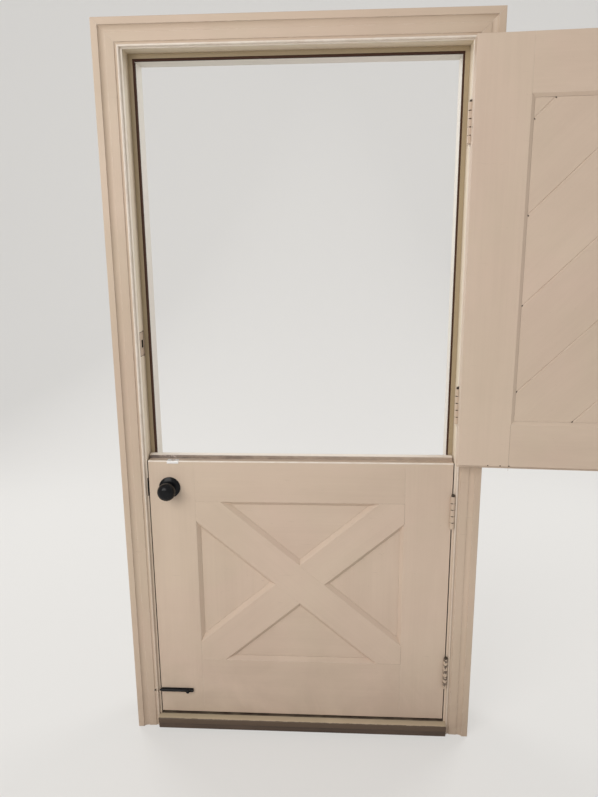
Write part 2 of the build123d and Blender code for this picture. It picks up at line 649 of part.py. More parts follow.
def weatherstrips():
    """The strips on the stops, their bulbs just clear of the closed leaves."""
    radius = BULB_DIAMETER / 2
    bulb_y = LEAF_THICKNESS + BULB_CLEARANCE + radius
    back_y = bulb_y + STRIP_WIDTH
    low_z, high_z = THRESHOLD_TOP, HEAD_STOP_Z
    head = block((-STOP_X, STOP_X), (bulb_y, back_y), (high_z - STRIP_THICKNESS, high_z))
    head += rod((-STOP_X, bulb_y, high_z - radius), (STOP_X, bulb_y, high_z - radius), radius)
    under_head = high_z - BULB_DIAMETER
    side = block((STOP_X - STRIP_THICKNESS, STOP_X), (bulb_y, back_y), (low_z, under_head))
    side += rod((STOP_X - radius, bulb_y, low_z), (STOP_X - radius, bulb_y, under_head), radius)
    return {"hinge": side, "strike": side.mirror(Plane.YZ), "head": head}


# Hinges

def knuckle_spans(z):
    """The height spans of a hinge's knuckles, from the top down."""
    length = (HINGE_HEIGHT - (KNUCKLE_COUNT - 1) * KNUCKLE_GAP) / KNUCKLE_COUNT
    tops = [z + HINGE_HEIGHT / 2 - i * (length + KNUCKLE_GAP) for i in range(KNUCKLE_COUNT)]
    return [(top - length, top) for top in tops]


def hinge_leaf(z, side, first_knuckle):
    """One plate of a butt hinge with every other knuckle; side is 1 on the jamb, -1 on the leaf."""
    near_x = HINGE_X + side * SIDE_GAP / 2
    plate_x = sorted((near_x, near_x + side * HINGE_PLATE_THICKNESS))
    plate = block(plate_x, (0, HINGE_PLATE_DEPTH), (z - HINGE_HEIGHT / 2, z + HINGE_HEIGHT / 2))
    for span in knuckle_spans(z)[first_knuckle::2]:
        plate += rod((HINGE_X, HINGE_Y, span[0]), (HINGE_X, HINGE_Y, span[1]), BARREL_DIAMETER / 2)
        plate += block(plate_x, (HINGE_Y + PIN_DIAMETER / 2, 0), span)
    bore_low = (HINGE_X, HINGE_Y, z - HINGE_HEIGHT)
    bore_high = (HINGE_X, HINGE_Y, z + HINGE_HEIGHT)
    return plate - rod(bore_low, bore_high, PIN_DIAMETER / 2 + PIN_CLEARANCE)


def hinge_pin(z):
    """A loose pin whose round head rests on the top knuckle."""
    low = (HINGE_X, HINGE_Y, z - HINGE_HEIGHT / 2)
    seat = (HINGE_X, HINGE_Y, z + HINGE_HEIGHT / 2)
    top = (HINGE_X, HINGE_Y, z + HINGE_HEIGHT / 2 + PIN_HEAD_HEIGHT)
    head = rod(seat, top, PIN_HEAD_DIAMETER / 2)
    crown = head.edges().sort_by(Axis.Z)[-1]
    return rod(low, seat, PIN_DIAMETER / 2) + fillet(crown, PIN_HEAD_ROUND)


# Locks

def case_blank(centre_y, z):
    """A round case in the leaf's edge with its faceplate, before its holes."""
    edge = -LEAF_EDGE
    case = rod((edge, centre_y, z), (edge + CASE_LENGTH, centre_y, z), CASE_DIAMETER / 2)
    plate_y = (centre_y - FACEPLATE_WIDTH / 2, centre_y + FACEPLATE_WIDTH / 2)
    plate_z = (z - FACEPLATE_HEIGHT / 2, z + FACEPLATE_HEIGHT / 2)
    return case + block((edge, edge + FACEPLATE_THICKNESS), plate_y, plate_z)


def through_leaf(z, radius):
    """A bore through the leaf on the locks' line."""
    return rod((LOCK_X, 0, z), (LOCK_X, LEAF_THICKNESS, z), radius)


def lock_case(centre_y, z, bolt_height, hole_radius):
    """A case with the bolt's channel and the turning hole."""
    half_y = BOLT_THICKNESS / 2 + BOLT_CLEARANCE
    half_z = bolt_height / 2 + BOLT_CLEARANCE
    x_span = (-LEAF_EDGE, -LEAF_EDGE + BOLT_LENGTH + POCKET_SPARE)
    channel = block(x_span, (centre_y - half_y, centre_y + half_y), (z - half_z, z + half_z))
    return case_blank(centre_y, z) - channel - through_leaf(z, hole_radius)


def case_waste(centre_y, z):
    """What a lock's case and the bore under its roses or plates need taken out of a lock stile."""
    return case_blank(centre_y, z) + through_leaf(z, CROSS_BORE_DIAMETER / 2)


def lock_bolt(centre_y, z, height):
    """A square bolt, drawn back flush with the leaf's edge."""
    y_span = (centre_y - BOLT_THICKNESS / 2, centre_y + BOLT_THICKNESS / 2)
    return block((-LEAF_EDGE, -LEAF_EDGE + BOLT_LENGTH), y_span, (z - height / 2, z + height / 2))


def latch_bolt():
    """The spring latch: its outer side is sloped, so that it draws back as the leaf closes."""
    bolt = lock_bolt(LATCH_Y, LATCH_Z, LATCH_HEIGHT)
    outer = LATCH_Y + BOLT_THICKNESS / 2
    slope = [(-LEAF_EDGE, outer - LATCH_BEVEL), (-LEAF_EDGE + LATCH_TRAVEL, outer), (-LEAF_EDGE, outer)]
    return bolt - plan_prism(slope, (LATCH_Z - LATCH_HEIGHT, LATCH_Z + LATCH_HEIGHT))


def knob_rose(face_y, outwards):
    """The domed plate round the knob's neck."""
    radius, hole = ROSE_DIAMETER / 2, KNOB_NECK_DIAMETER / 2 + TURNING_CLEARANCE
    inner = hole + ROSE_RIM
    path = Curve() + [
        Polyline((hole, 0), (radius, 0), (radius, ROSE_RIM)),
        bent((radius, ROSE_RIM), (inner, ROSE_HEIGHT), ROSE_BEND),
        Polyline((inner, ROSE_HEIGHT), (hole, ROSE_HEIGHT), (hole, 0)),
    ]
    return turned(make_face(path), (LOCK_X, face_y, LATCH_Z), outwards)


def knob(face_y, outwards):
    """A flattened ball on a neck."""
    neck, round_edge = KNOB_NECK_DIAMETER / 2, KNOB_BODY_DEPTH / 2
    core, middle = KNOB_DIAMETER / 2 - round_edge, KNOB_PROJECTION - round_edge
    neck_top = middle - math.sqrt(round_edge**2 - (neck - core) ** 2)
    path = Curve() + [
        Polyline((0, TURNING_CLEARANCE), (neck, TURNING_CLEARANCE), (neck, neck_top)),
        ThreePointArc((neck, neck_top), (KNOB_DIAMETER / 2, middle), (core, KNOB_PROJECTION)),
        Polyline((core, KNOB_PROJECTION), (0, KNOB_PROJECTION), (0, TURNING_CLEARANCE)),
    ]
    return turned(make_face(path), (LOCK_X, face_y, LATCH_Z), outwards)


def spindle():
    """The square bar that joins the two knobs."""
    reach = KNOB_PROJECTION - KNOB_BODY_DEPTH
    half = SPINDLE_SIDE / 2
    x_span = (LOCK_X - half, LOCK_X + half)
    return block(x_span, (-reach, LEAF_THICKNESS + reach), (LATCH_Z - half, LATCH_Z + half))


def turn_plate():
    """The round plate behind the thumbturn."""
    centre = (LOCK_X, 0, DEADBOLT_Z)
    front = (LOCK_X, -TURN_PLATE_HEIGHT, DEADBOLT_Z)
    plate = rod(centre, front, TURN_PLATE_DIAMETER / 2)
    plate = chamfer(plate.edges().group_by(Axis.Y)[0], TURN_PLATE_CHAMFER)
    return plate - rod(centre, front, TURN_STEM_DIAMETER / 2 + TURNING_CLEARANCE)


def thumbturn():
    """The thumbturn with its tailpiece, which drives the deadbolt."""
    grip_back = -(TURN_PLATE_HEIGHT + TURNING_CLEARANCE)
    stem = rod((LOCK_X, 0, DEADBOLT_Z), (LOCK_X, grip_back, DEADBOLT_Z), TURN_STEM_DIAMETER / 2)
    grip_plane = Plane(origin=(LOCK_X, grip_back, DEADBOLT_Z), x_dir=(0, 0, 1), z_dir=(0, -1, 0))
    grip = extrude(grip_plane * SlotOverall(TURN_GRIP_LENGTH, TURN_GRIP_WIDTH), amount=TURN_GRIP_HEIGHT)
    tail_x = (LOCK_X - TAILPIECE_THICKNESS / 2, LOCK_X + TAILPIECE_THICKNESS / 2)
    tail_z = (DEADBOLT_Z - TAILPIECE_WIDTH / 2, DEADBOLT_Z + TAILPIECE_WIDTH / 2)
    return stem + grip + block(tail_x, (0, LEAF_THICKNESS), tail_z)


def key_cylinder():
    """The outer key cylinder in its tapered ring."""
    wide, narrow = TURN_PLATE_DIAMETER / 2, CYLINDER_FACE_DIAMETER / 2
    corners = [(0, 0), (wide, 0), (wide, TURN_PLATE_HEIGHT)]
    corners += [(narrow, CYLINDER_HEIGHT), (0, CYLINDER_HEIGHT)]
    body = turned(Polygon(*corners, align=None), (LOCK_X, LEAF_THICKNESS, DEADBOLT_Z), 1)
    front = LEAF_THICKNESS + CYLINDER_HEIGHT
    x_span = (LOCK_X - KEYWAY_WIDTH / 2, LOCK_X + KEYWAY_WIDTH / 2)
    z_span = (DEADBOLT_Z - KEYWAY_HEIGHT / 2, DEADBOLT_Z + KEYWAY_HEIGHT / 2)
    return body - block(x_span, (front - KEYWAY_DEPTH, front), z_span)


def strike(thickness, y_span, height, bolt_at):
    """A strike plate let into the strike jamb, with the bolt's hole."""
    x_span = (-REBATE_X - thickness, -REBATE_X)
    plate = block(x_span, y_span, (bolt_at[0] - height / 2, bolt_at[0] + height / 2))
    return plate - strike_hole(bolt_at, thickness)


def strike_hole(bolt_at, depth):
    """The hole in the strike jamb for a bolt of that height, to a depth from the jamb's face."""
    z, bolt_y, bolt_height = bolt_at
    half_y = BOLT_THICKNESS / 2 + STRIKE_HOLE_SPARE
    half_z = bolt_height / 2 + STRIKE_HOLE_SPARE
    y_span = (bolt_y - half_y, bolt_y + half_y)
    return block((-REBATE_X - depth, -REBATE_X), y_span, (z - half_z, z + half_z))


# Bolt between the leaves

def join_rod(radius, low_z, high_z):
    """A round bar on the flush bolt's line."""
    return rod((JOIN_X, JOIN_ROD_DEPTH, low_z), (JOIN_X, JOIN_ROD_DEPTH, high_z), radius)


def join_thumb(spare, y_front, drop):
    """The flush bolt's thumb piece, or with spare and drop the slot that it travels in."""
    z = UPPER_BOTTOM + JOIN_THUMB_FROM_BOTTOM
    half_x, half_z = JOIN_THUMB_WIDTH / 2 + spare, JOIN_THUMB_HEIGHT / 2 + spare
    x_span = (JOIN_X - half_x, JOIN_X + half_x)
    return block(x_span, (y_front, JOIN_ROD_DEPTH), (z - half_z - drop, z + half_z))


def join_bolt():
    """The flush bolt's rod with its thumb piece, drawn up into the leaf."""
    low_z = UPPER_BOTTOM + JOIN_ROD_SETBACK
    bar = join_rod(JOIN_ROD_DIAMETER / 2, low_z, low_z + JOIN_ROD_LENGTH)
    return bar + join_thumb(0, -JOIN_THUMB_REACH, 0)


def join_plate():
    """The flush bolt's plate, let into the room face of the leaf and slotted for the thumb piece."""
    low_z = UPPER_BOTTOM + JOIN_PLATE_FROM_BOTTOM
    x_span = (JOIN_X - JOIN_PLATE_WIDTH / 2, JOIN_X + JOIN_PLATE_WIDTH / 2)
    return block(x_span, (0, JOIN_PLATE_THICKNESS), (low_z, low_z + JOIN_PLATE_HEIGHT))


def join_waste():
    """What the flush bolt needs taken out of the upper leaf."""
    high_z = UPPER_BOTTOM + JOIN_ROD_SETBACK + JOIN_ROD_LENGTH + POCKET_SPARE
    bore = join_rod(JOIN_ROD_DIAMETER / 2 + JOIN_ROD_CLEARANCE, UPPER_BOTTOM, high_z)
    return bore + join_thumb(JOIN_ROD_CLEARANCE, 0, JOIN_TRAVEL)


def keeper():
    """The angled keeper on the top front edge of the lower leaf, with the rod's hole."""
    x_span = (JOIN_X - KEEPER_WIDTH / 2, JOIN_X + KEEPER_WIDTH / 2)
    flange = block(x_span, (-KEEPER_THICKNESS, KEEPER_DEPTH), (LOWER_TOP - KEEPER_THICKNESS, LOWER_TOP))
    flange += block(x_span, (-KEEPER_THICKNESS, 0), (LOWER_TOP - KEEPER_LIP, LOWER_TOP))
    corner = flange.edges().filter_by(Axis.X).group_by(Axis.Y)[0].sort_by(Axis.Z)[-1]
    flange = fillet(corner, KEEPER_EDGE_RADIUS)
    return flange - join_rod(KEEPER_HOLE_DIAMETER / 2, LOWER_TOP - KEEPER_LIP, LOWER_TOP)


def keeper_waste():
    """What the keeper and the dropped rod need taken out of the lower leaf."""
    x_span = (JOIN_X - KEEPER_WIDTH / 2, JOIN_X + KEEPER_WIDTH / 2)
    seat = block(x_span, (0, KEEPER_DEPTH), (LOWER_TOP - KEEPER_THICKNESS, LOWER_TOP))
    return seat + join_rod(KEEPER_HOLE_DIAMETER / 2, LOWER_TOP - JOIN_TRAVEL - POCKET_SPARE, LOWER_TOP)


# Slide bolt

def slide_bar(start_x, end_x, radius):
    """A round bar on the slide bolt's line."""
    return rod((start_x, SLIDE_Y, SLIDE_Z), (end_x, SLIDE_Y, SLIDE_Z), radius)


def slide_barrel():
    """The slide bolt's back plate and barrel, slotted for the knob's neck."""
    outer = SLIDE_BORE_RADIUS + SLIDE_BARREL_WALL
    x_span = (SLIDE_START_X, SLIDE_END_X)
    half = SLIDE_PLATE_HEIGHT / 2
    body = block(x_span, (-SLIDE_PLATE_THICKNESS, 0), (SLIDE_Z - half, SLIDE_Z + half))
    body += block(x_span, (SLIDE_Y, 0), (SLIDE_Z - outer, SLIDE_Z + outer))
    body += slide_bar(SLIDE_START_X, SLIDE_END_X, outer)
    body -= slide_bar(SLIDE_START_X, SLIDE_END_X, SLIDE_BORE_RADIUS)
    neck = SLIDE_NECK_DIAMETER / 2 + SLIDE_ROD_CLEARANCE
    slot_x = (SLIDE_KNOB_X - SLIDE_FORWARD - neck, SLIDE_KNOB_X + SLIDE_BACK + neck)
    return body - block(slot_x, (SLIDE_Y - CUT_SPARE, SLIDE_Y), (SLIDE_Z - neck, SLIDE_Z + neck))


def slide_rod():
    """The slide bolt's rod with its round knob."""
    tip_x = -LEAF_EDGE - SLIDE_TIP_PAST_EDGE
    bar = slide_bar(tip_x, SLIDE_KNOB_X + SLIDE_ROD_PAST_KNOB, SLIDE_ROD_DIAMETER / 2)
    back_y = SLIDE_Y - SLIDE_BORE_RADIUS - SLIDE_BARREL_WALL - SLIDE_ROD_CLEARANCE
    foot = (SLIDE_KNOB_X, SLIDE_Y, SLIDE_Z)
    back = (SLIDE_KNOB_X, back_y, SLIDE_Z)
    front = (SLIDE_KNOB_X, back_y - SLIDE_KNOB_HEIGHT, SLIDE_Z)
    head = rod(back, front, SLIDE_KNOB_DIAMETER / 2)
    head = fillet(head.edges().group_by(Axis.Y)[0], SLIDE_KNOB_ROUND)
    return bar + rod(foot, back, SLIDE_NECK_DIAMETER / 2) + head


def slide_hole():
    """The hole in the casing's inner edge that the slide bolt enters."""
    depth = SLIDE_FORWARD + POCKET_SPARE
    return slide_bar(-CASING_X - depth, -CASING_X, SLIDE_ROD_DIAMETER / 2 + SLIDE_HOLE_SPARE)


# The whole door

def door_pieces():
    """Every piece by its name, with the upper leaf open."""
    upper, lower = upper_leaf(), lower_leaf()
    spindle_hole = SPINDLE_SIDE / math.sqrt(2) + TURNING_CLEARANCE
    tail_hole = math.hypot(TAILPIECE_WIDTH, TAILPIECE_THICKNESS) / 2 + TURNING_CLEARANCE
    latch_case = lock_case(LATCH_Y, LATCH_Z, LATCH_HEIGHT, spindle_hole)
    deadbolt_case = lock_case(DEADBOLT_DEPTH, DEADBOLT_Z, DEADBOLT_HEIGHT, tail_hole)

    upper_plates = [hinge_leaf(z, -1, 1) for z in UPPER_HINGES]
    lower_plates = [hinge_leaf(z, -1, 1) for z in LOWER_HINGES]
    frame_plates = [hinge_leaf(z, 1, 0) for z in UPPER_HINGES + LOWER_HINGES]
    for plate in upper_plates:
        upper["hinge_stile"] -= plate
    for plate in lower_plates:
        lower["hinge_stile"] -= plate
    upper["lock_stile"] -= case_waste(DEADBOLT_DEPTH, DEADBOLT_Z)
    upper["lock_stile"] -= join_plate() + join_waste()
    lower["lock_stile"] -= case_waste(LATCH_Y, LATCH_Z)
    lower["lock_stile"] -= keeper_waste()

    bar = spindle()
    pieces = {"lower_" + name: piece for name, piece in lower.items()}
    pieces["lower_top_hinge_leaf"], pieces["lower_bottom_hinge_leaf"] = lower_plates
    pieces["latch_case"] = latch_case
    pieces["latch_bolt"] = latch_bolt()
    pieces["inner_rose"] = knob_rose(0, -1)
    pieces["outer_rose"] = knob_rose(LEAF_THICKNESS, 1)
    pieces["inner_knob"] = knob(0, -1) + bar
    pieces["outer_knob"] = knob(LEAF_THICKNESS, 1) - bar
    pieces["bolt_keeper"] = keeper()
    pieces["slide_bolt_barrel"] = slide_barrel()
    pieces["slide_bolt_rod"] = slide_rod()

    opened = {"upper_" + name: piece for name, piece in upper.items()}
    opened["upper_top_hinge_leaf"], opened["upper_bottom_hinge_leaf"] = upper_plates
    opened["deadbolt_case"] = deadbolt_case
    opened["deadbolt"] = lock_bolt(DEADBOLT_DEPTH, DEADBOLT_Z, DEADBOLT_HEIGHT)
    opened["thumbturn_plate"] = turn_plate()
    opened["thumbturn"] = thumbturn()
    opened["key_cylinder"] = key_cylinder() - thumbturn()
    opened["join_bolt_plate"] = join_plate() - join_waste()
    opened["join_bolt_rod"] = join_bolt()
    pieces.update({name: in_open_place(piece) for name, piece in opened.items()})

    pieces.update(frame_pieces(frame_plates))
    pieces["frame_hinge_leaves"] = Compound(frame_plates)
    pieces["hinge_pins"] = Compound([hinge_pin(z) for z in UPPER_HINGES + LOWER_HINGES])
    return pieces


def frame_pieces(frame_plates):
    """Jambs, sill, threshold, mouldings, weatherstrips and strikes."""
    head = head_jamb()
    base = sill()
    stops = door_stops(base)
    hinge_jamb, strike_jamb = side_jamb(1, base), side_jamb(-1, base)
    for plate in frame_plates:
        hinge_jamb -= plate
    step = threshold([hinge_jamb, strike_jamb] + stops)

    latch_at = (LATCH_Z, LATCH_Y, LATCH_HEIGHT)
    bolt_at = (DEADBOLT_Z, DEADBOLT_DEPTH, DEADBOLT_HEIGHT)
    latch_plate_y = (-LATCH_STRIKE_LIP, LATCH_STRIKE_WIDTH)
    bolt_plate_y = (LEAF_THICKNESS - DEADBOLT_STRIKE_WIDTH, LEAF_THICKNESS)
    latch_strike = strike(LATCH_STRIKE_THICKNESS, latch_plate_y, FACEPLATE_HEIGHT, latch_at)
    bolt_strike = strike(DEADBOLT_STRIKE_THICKNESS, bolt_plate_y, DEADBOLT_STRIKE_HEIGHT, bolt_at)
    strike_jamb -= latch_strike + strike_hole(latch_at, LATCH_TRAVEL - SIDE_GAP + POCKET_SPARE)
    strike_jamb -= bolt_strike + strike_hole(bolt_at, DEADBOLT_TRAVEL - SIDE_GAP + POCKET_SPARE)

    casing = mitred_surround(casing_section(), CASING_WIDTH, CASING_X, CASING_Z, 0, -1)
    casing["left"] -= slide_hole()
    moulding_x, moulding_z = STOP_X + OUTER_MOULDING_REVEAL, HEAD_STOP_Z + OUTER_MOULDING_REVEAL
    section = outer_moulding_section()
    outer = mitred_surround(section, OUTER_MOULDING_WIDTH, moulding_x, moulding_z, JAMB_DEPTH, 1)
    strips = weatherstrips()

    pieces = {"hinge_jamb": hinge_jamb, "strike_jamb": strike_jamb, "head_jamb": head}
    pieces.update({"door_stops": Compound(stops), "sill": base, "threshold": step})
    pieces.update({"latch_strike": latch_strike, "deadbolt_strike": bolt_strike})
    pieces.update({name + "_casing": piece for name, piece in casing.items()})
    pieces.update({name + "_outer_moulding": piece - base for name, piece in outer.items()})
    pieces.update({name + "_weatherstrip": piece for name, piece in strips.items()})
    return pieces


for name, piece in door_pieces().items():
    export_step(piece, f"parts/{name}.step")
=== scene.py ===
"""Looks of a painted dutch stable door in its frame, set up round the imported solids."""

import json
import math

import bmesh
import bpy
from bpy.props import FloatProperty, FloatVectorProperty, PointerProperty
from mathutils import Matrix, Vector


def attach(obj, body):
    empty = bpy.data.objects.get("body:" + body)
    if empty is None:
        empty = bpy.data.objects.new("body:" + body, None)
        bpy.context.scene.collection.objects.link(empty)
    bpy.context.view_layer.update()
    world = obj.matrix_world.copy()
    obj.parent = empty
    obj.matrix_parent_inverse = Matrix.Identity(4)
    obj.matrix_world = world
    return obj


bl_info = {
    "name": "Dutch Stable Door Finish",
    "version": (1, 0, 0),
    "blender": (4, 5, 0),
    "location": "3D View > Sidebar > Stable Door",
    "description": "Paint, metal, screws, joint lines and stage for a dutch stable door in its frame",
    "category": "Object",
}

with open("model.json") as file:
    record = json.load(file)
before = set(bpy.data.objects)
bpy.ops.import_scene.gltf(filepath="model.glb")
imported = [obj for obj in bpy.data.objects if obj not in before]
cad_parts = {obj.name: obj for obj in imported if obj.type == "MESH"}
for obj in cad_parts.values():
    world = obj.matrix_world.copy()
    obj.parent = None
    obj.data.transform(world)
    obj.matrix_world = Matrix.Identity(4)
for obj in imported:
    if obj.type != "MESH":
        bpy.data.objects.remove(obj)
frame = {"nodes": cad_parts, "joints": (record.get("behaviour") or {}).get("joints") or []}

# Places and sizes on the door, in metres
LEAF_EDGE, LEAF_THICKNESS = 0.457, 0.0445
LOWER_TOP, UPPER_BOTTOM, STEP_BACK = 0.914, 0.917, 0.0240
LOWER_FIELD_X, LOWER_FIELD_LOW, LOWER_FIELD_HIGH = 0.318, 0.243, 0.785
UPPER_FIELD_X, UPPER_FIELD_LOW, UPPER_FIELD_HIGH = 0.317, 1.051, 1.9095
UPPER_BEVEL, UPPER_SINK = 0.0095, 0.0065
BRACE_WIDTH, BOARD_WIDTH, CORNER_BOARD_WIDTH = 0.097, 0.1669, 0.0481
JAMB_FACE, STOP_FACE = 0.460, 0.0465
CASING_INNER, CASING_HEAD, BEAD_WIDTH = 0.466, 2.057, 0.006
BARREL_RADIUS, BARREL_LENGTH, KNUCKLES = 0.007, 0.102, 5
LOCK_X, LATCH_Y, LATCH_Z, DEADBOLT_Y, DEADBOLT_Z = -0.394, 0.02225, 0.830, 0.027, 1.266
STRIKE_BACK, STRIKE_WIDTH, STRIKE_HEIGHT = 0.0445, 0.042, 0.070
STRIKE_HOLE_HALF, STRIKE_POCKET = 0.0125, 0.0180
JOIN_X, JOIN_PLATE_MIDDLE, JOIN_SCREW_REACH = -0.3817, 0.992, 0.057
UPPER_HINGES, LOWER_HINGES = (1.852, 1.089), (0.763, 0.221)
HINGE_AXIS = Vector(frame["joints"][0]["pos_m"])
LEAF_FACES = ((0.0, -1), (LEAF_THICKNESS, 1))
FIELD_FACES = ((UPPER_SINK, -1), (LEAF_THICKNESS - UPPER_SINK, 1))
# The bottom seal's section by depth and height: its upper corners, and the tips of its three fins
SEAL_PROFILE = (
    (0.0120, 0.0500), (0.0120, 0.0478), (0.0135, 0.0466), (0.0150, 0.0418), (0.0162, 0.0414),
    (0.0174, 0.0418), (0.0186, 0.0464), (0.0214, 0.0464), (0.0226, 0.0418), (0.0238, 0.0414),
    (0.0250, 0.0418), (0.0262, 0.0464), (0.0290, 0.0464), (0.0302, 0.0418), (0.0314, 0.0414),
    (0.0326, 0.0418), (0.0341, 0.0466), (0.0356, 0.0478), (0.0356, 0.0500),
)
# The section of the paint in a groove, by offset from its middle and depth, in millimetres
GROOVE_SECTION = (
    (-1.62, 0.42), (-1.25, 0.95), (-0.6, 1.45), (0.0, 1.65), (0.6, 1.45), (1.25, 0.95), (1.62, 0.42),
)
# How far hairlines stand off their face, and how far their middle rises above that
PROUD, RIDGE = 0.00012, 0.00003

# Turns, in radians
OPEN_TURN, LEVEL_TURN, BOARD_TURN = math.radians(176), math.radians(90), math.radians(45)
BRACE_TURN = math.atan2(2 * LOWER_FIELD_X, LOWER_FIELD_HIGH - LOWER_FIELD_LOW)

# Screws: the four of a hinge by depth and rise, and the pairs of the plates by name, body, slot, share of the
# hinge screws' radius, middle, reach from it, way out and turns of the two slots
HINGE_SCREWS = ((0.011, -0.040), (0.026, -0.014), (0.026, 0.014), (0.011, 0.040))
SCREW_PAIRS = (
    ("latch_strike_screws", "frame", "black_metal", 0.86,
     (-JAMB_FACE, LATCH_Y, LATCH_Z), (0, 0, 0.0215), (1, 0, 0), (-1.935, 1.935)),
    ("deadbolt_strike_screws", "frame", "painted_hinge", 0.86,
     (-JAMB_FACE, DEADBOLT_Y, DEADBOLT_Z), (0, 0, 0.026), (1, 0, 0), (-1.82, 1.82)),
    ("latch_faceplate_screws", "lower_leaf", "black_metal", 0.86,
     (-LEAF_EDGE, LATCH_Y, LATCH_Z), (0, 0, 0.0215), (-1, 0, 0), (-1.29, 1.29)),
    ("deadbolt_faceplate_screws", "upper_leaf", "black_metal", 0.86,
     (-LEAF_EDGE, DEADBOLT_Y, DEADBOLT_Z), (0, 0, 0.0215), (-1, 0, 0), (-1.29, 1.29)),
    ("keeper_screws", "lower_leaf", "bright_steel", 0.688,
     (JOIN_X, 0.0105, LOWER_TOP), (0.0125, 0, 0), (0, 0, 1), (-1.0, 1.0)),
    ("join_plate_screws", "upper_leaf", "black_metal", 0.86,
     (JOIN_X, 0, JOIN_PLATE_MIDDLE), (0, 0, JOIN_SCREW_REACH), (0, -1, 0), (8.415, 9.441)),
    ("thumbturn_plate_screws", "upper_leaf", "black_metal", 0.86,
     (LOCK_X, -0.006, DEADBOLT_Z), (0.021, 0, 0), (0, -1, 0), (-0.84, 0.84)),
)
SCREW_FINISHES = {
    "painted_hinge": "painted_plates", "black_metal": "black_lacquer", "bright_steel": "worn_steel",
}

# Colours of painted shade in the strike holes, of dirt and painted shade in gaps (also the lowest hinge's
# chips), of painted shade on the riser, and of rubs beside the bolt
STRIKE_HOLE_SHADE, GAP_SHADE_AND_DIRT = (0.016, 0.011, 0.008, 1.0), (0.060, 0.038, 0.028, 1.0)
RISER_SHADE, BOLT_RUB = (0.120, 0.092, 0.080, 1.0), (0.66, 0.55, 0.49, 1.0)

# Solids by their finish
LEAF_UPRIGHTS = ("lower_left_panel", "lower_right_panel", "upper_hinge_stile", "upper_lock_stile")
LEAF_LEVELS = (
    "lower_bottom_rail", "lower_top_panel", "lower_bottom_panel", "upper_top_rail", "upper_bottom_rail",
)
UPPER_BOARDS = tuple(f"upper_board_{number}" for number in range(1, 8))
STRIPS = ("hinge_weatherstrip", "strike_weatherstrip", "head_weatherstrip")
HINGE_PLATES = (
    "upper_top_hinge_leaf", "upper_bottom_hinge_leaf", "lower_top_hinge_leaf", "lower_bottom_hinge_leaf",
    "frame_hinge_leaves",
)
BLACK_PIECES = (
    "inner_rose", "outer_rose", "inner_knob", "outer_knob", "latch_strike", "latch_case", "slide_bolt_barrel",
    "slide_bolt_rod", "thumbturn_plate", "thumbturn", "key_cylinder", "join_bolt_plate", "deadbolt_case",
)
STEEL_PIECES = ("latch_bolt", "deadbolt", "join_bolt_rod", "bolt_keeper")

# Stage: the camera's place and turns, the sweep's sizes, the share of the floor's colour that the camera
# sees, and the lamps by name, setting, place, aim, size and colour
CAMERA_AT = (0.1077, -1.8661, 1.5270)
PITCH, YAW, ROLL = math.radians(12.62), math.radians(-3.24), math.radians(0.46)
SWEEP_NEAR, SWEEP_FAR, SWEEP_HEIGHT, SWEEP_BEND, SWEEP_HALF = -12.0, 4.2, 8.0, 1.8, 14.0
FLOOR_SEEN_SHARE = 0.42
LAMPS = (
    ("key_lamp", "key_power", (-1.7, -3.0, 2.7), (0.1, 0.0, 0.95), 2.4, (1.0, 0.975, 0.945)),
    ("back_left_lamp", "back_power", (-2.3, 2.4, 2.5), (0.0, 0.05, 1.15), 1.7, (1.0, 0.995, 0.985)),
    ("back_right_lamp", "back_power", (2.3, 2.4, 2.5), (0.0, 0.05, 1.15), 1.7, (1.0, 0.995, 0.985)),
)


def colour_setting(name, description, default):
    """A colour that a user can change, in linear values."""
    return FloatVectorProperty(
        name=name, description=description, default=(*default, 1.0), size=4, min=0.0, max=1.0, subtype="COLOR"
    )


class DoorPaintSettings(bpy.types.PropertyGroup):
    """Paint on the leaves, frame and outer moulding."""

    leaf: colour_setting("Leaf", "Paint of both leaves", (0.668, 0.534, 0.430))
    frame: colour_setting("Frame", "Paint of the casings and painted plates", (0.618, 0.490, 0.384))
    # Painted light: the jambs are coloured paler than the casings, standing in for light through the opening
    # on them
    jamb: colour_setting("Jambs", "Paint of the jambs above the lower leaf, paler than the casings",
                         (0.790, 0.685, 0.545))
    stops: colour_setting("Stops", "Paint of the stops on their weather side", (0.79, 0.75, 0.69))
    # Painted shade: the stops' room face is coloured darker and browner than their weather side, for the
    # shade it lies in
    stop_front_shade: colour_setting("Stop Fronts", "Yellowed paint on the stops where the leaves close",
                               (0.400, 0.315, 0.200))
    outer: colour_setting("Outer Moulding", "Paint of the outer moulding", (0.74, 0.735, 0.72))
    threshold: colour_setting("Threshold", "Trodden paint of the threshold", (0.660, 0.555, 0.405))
    grime: colour_setting("Grime", "Dirt that gathers low down and in corners", (0.205, 0.140, 0.096))
    # The bare colour is also laid on as painted highlight: on the casing beads, the jambs' front edges and
    # the top of the lower leaf
    bare: colour_setting("Bare Edge", "Pale undercoat that shows on rubbed edges", (0.86, 0.79, 0.71))
    roughness: FloatProperty(
        name="Roughness", description="Roughness of the satin paint", default=0.46, min=0.0, max=1.0,
        subtype="FACTOR",
    )
    edge_radius: FloatProperty(
        name="Edge Radius", description="Radius that brushed paint gives to sharp edges", default=0.0014,
        min=0.0, max=0.01, unit="LENGTH",
    )


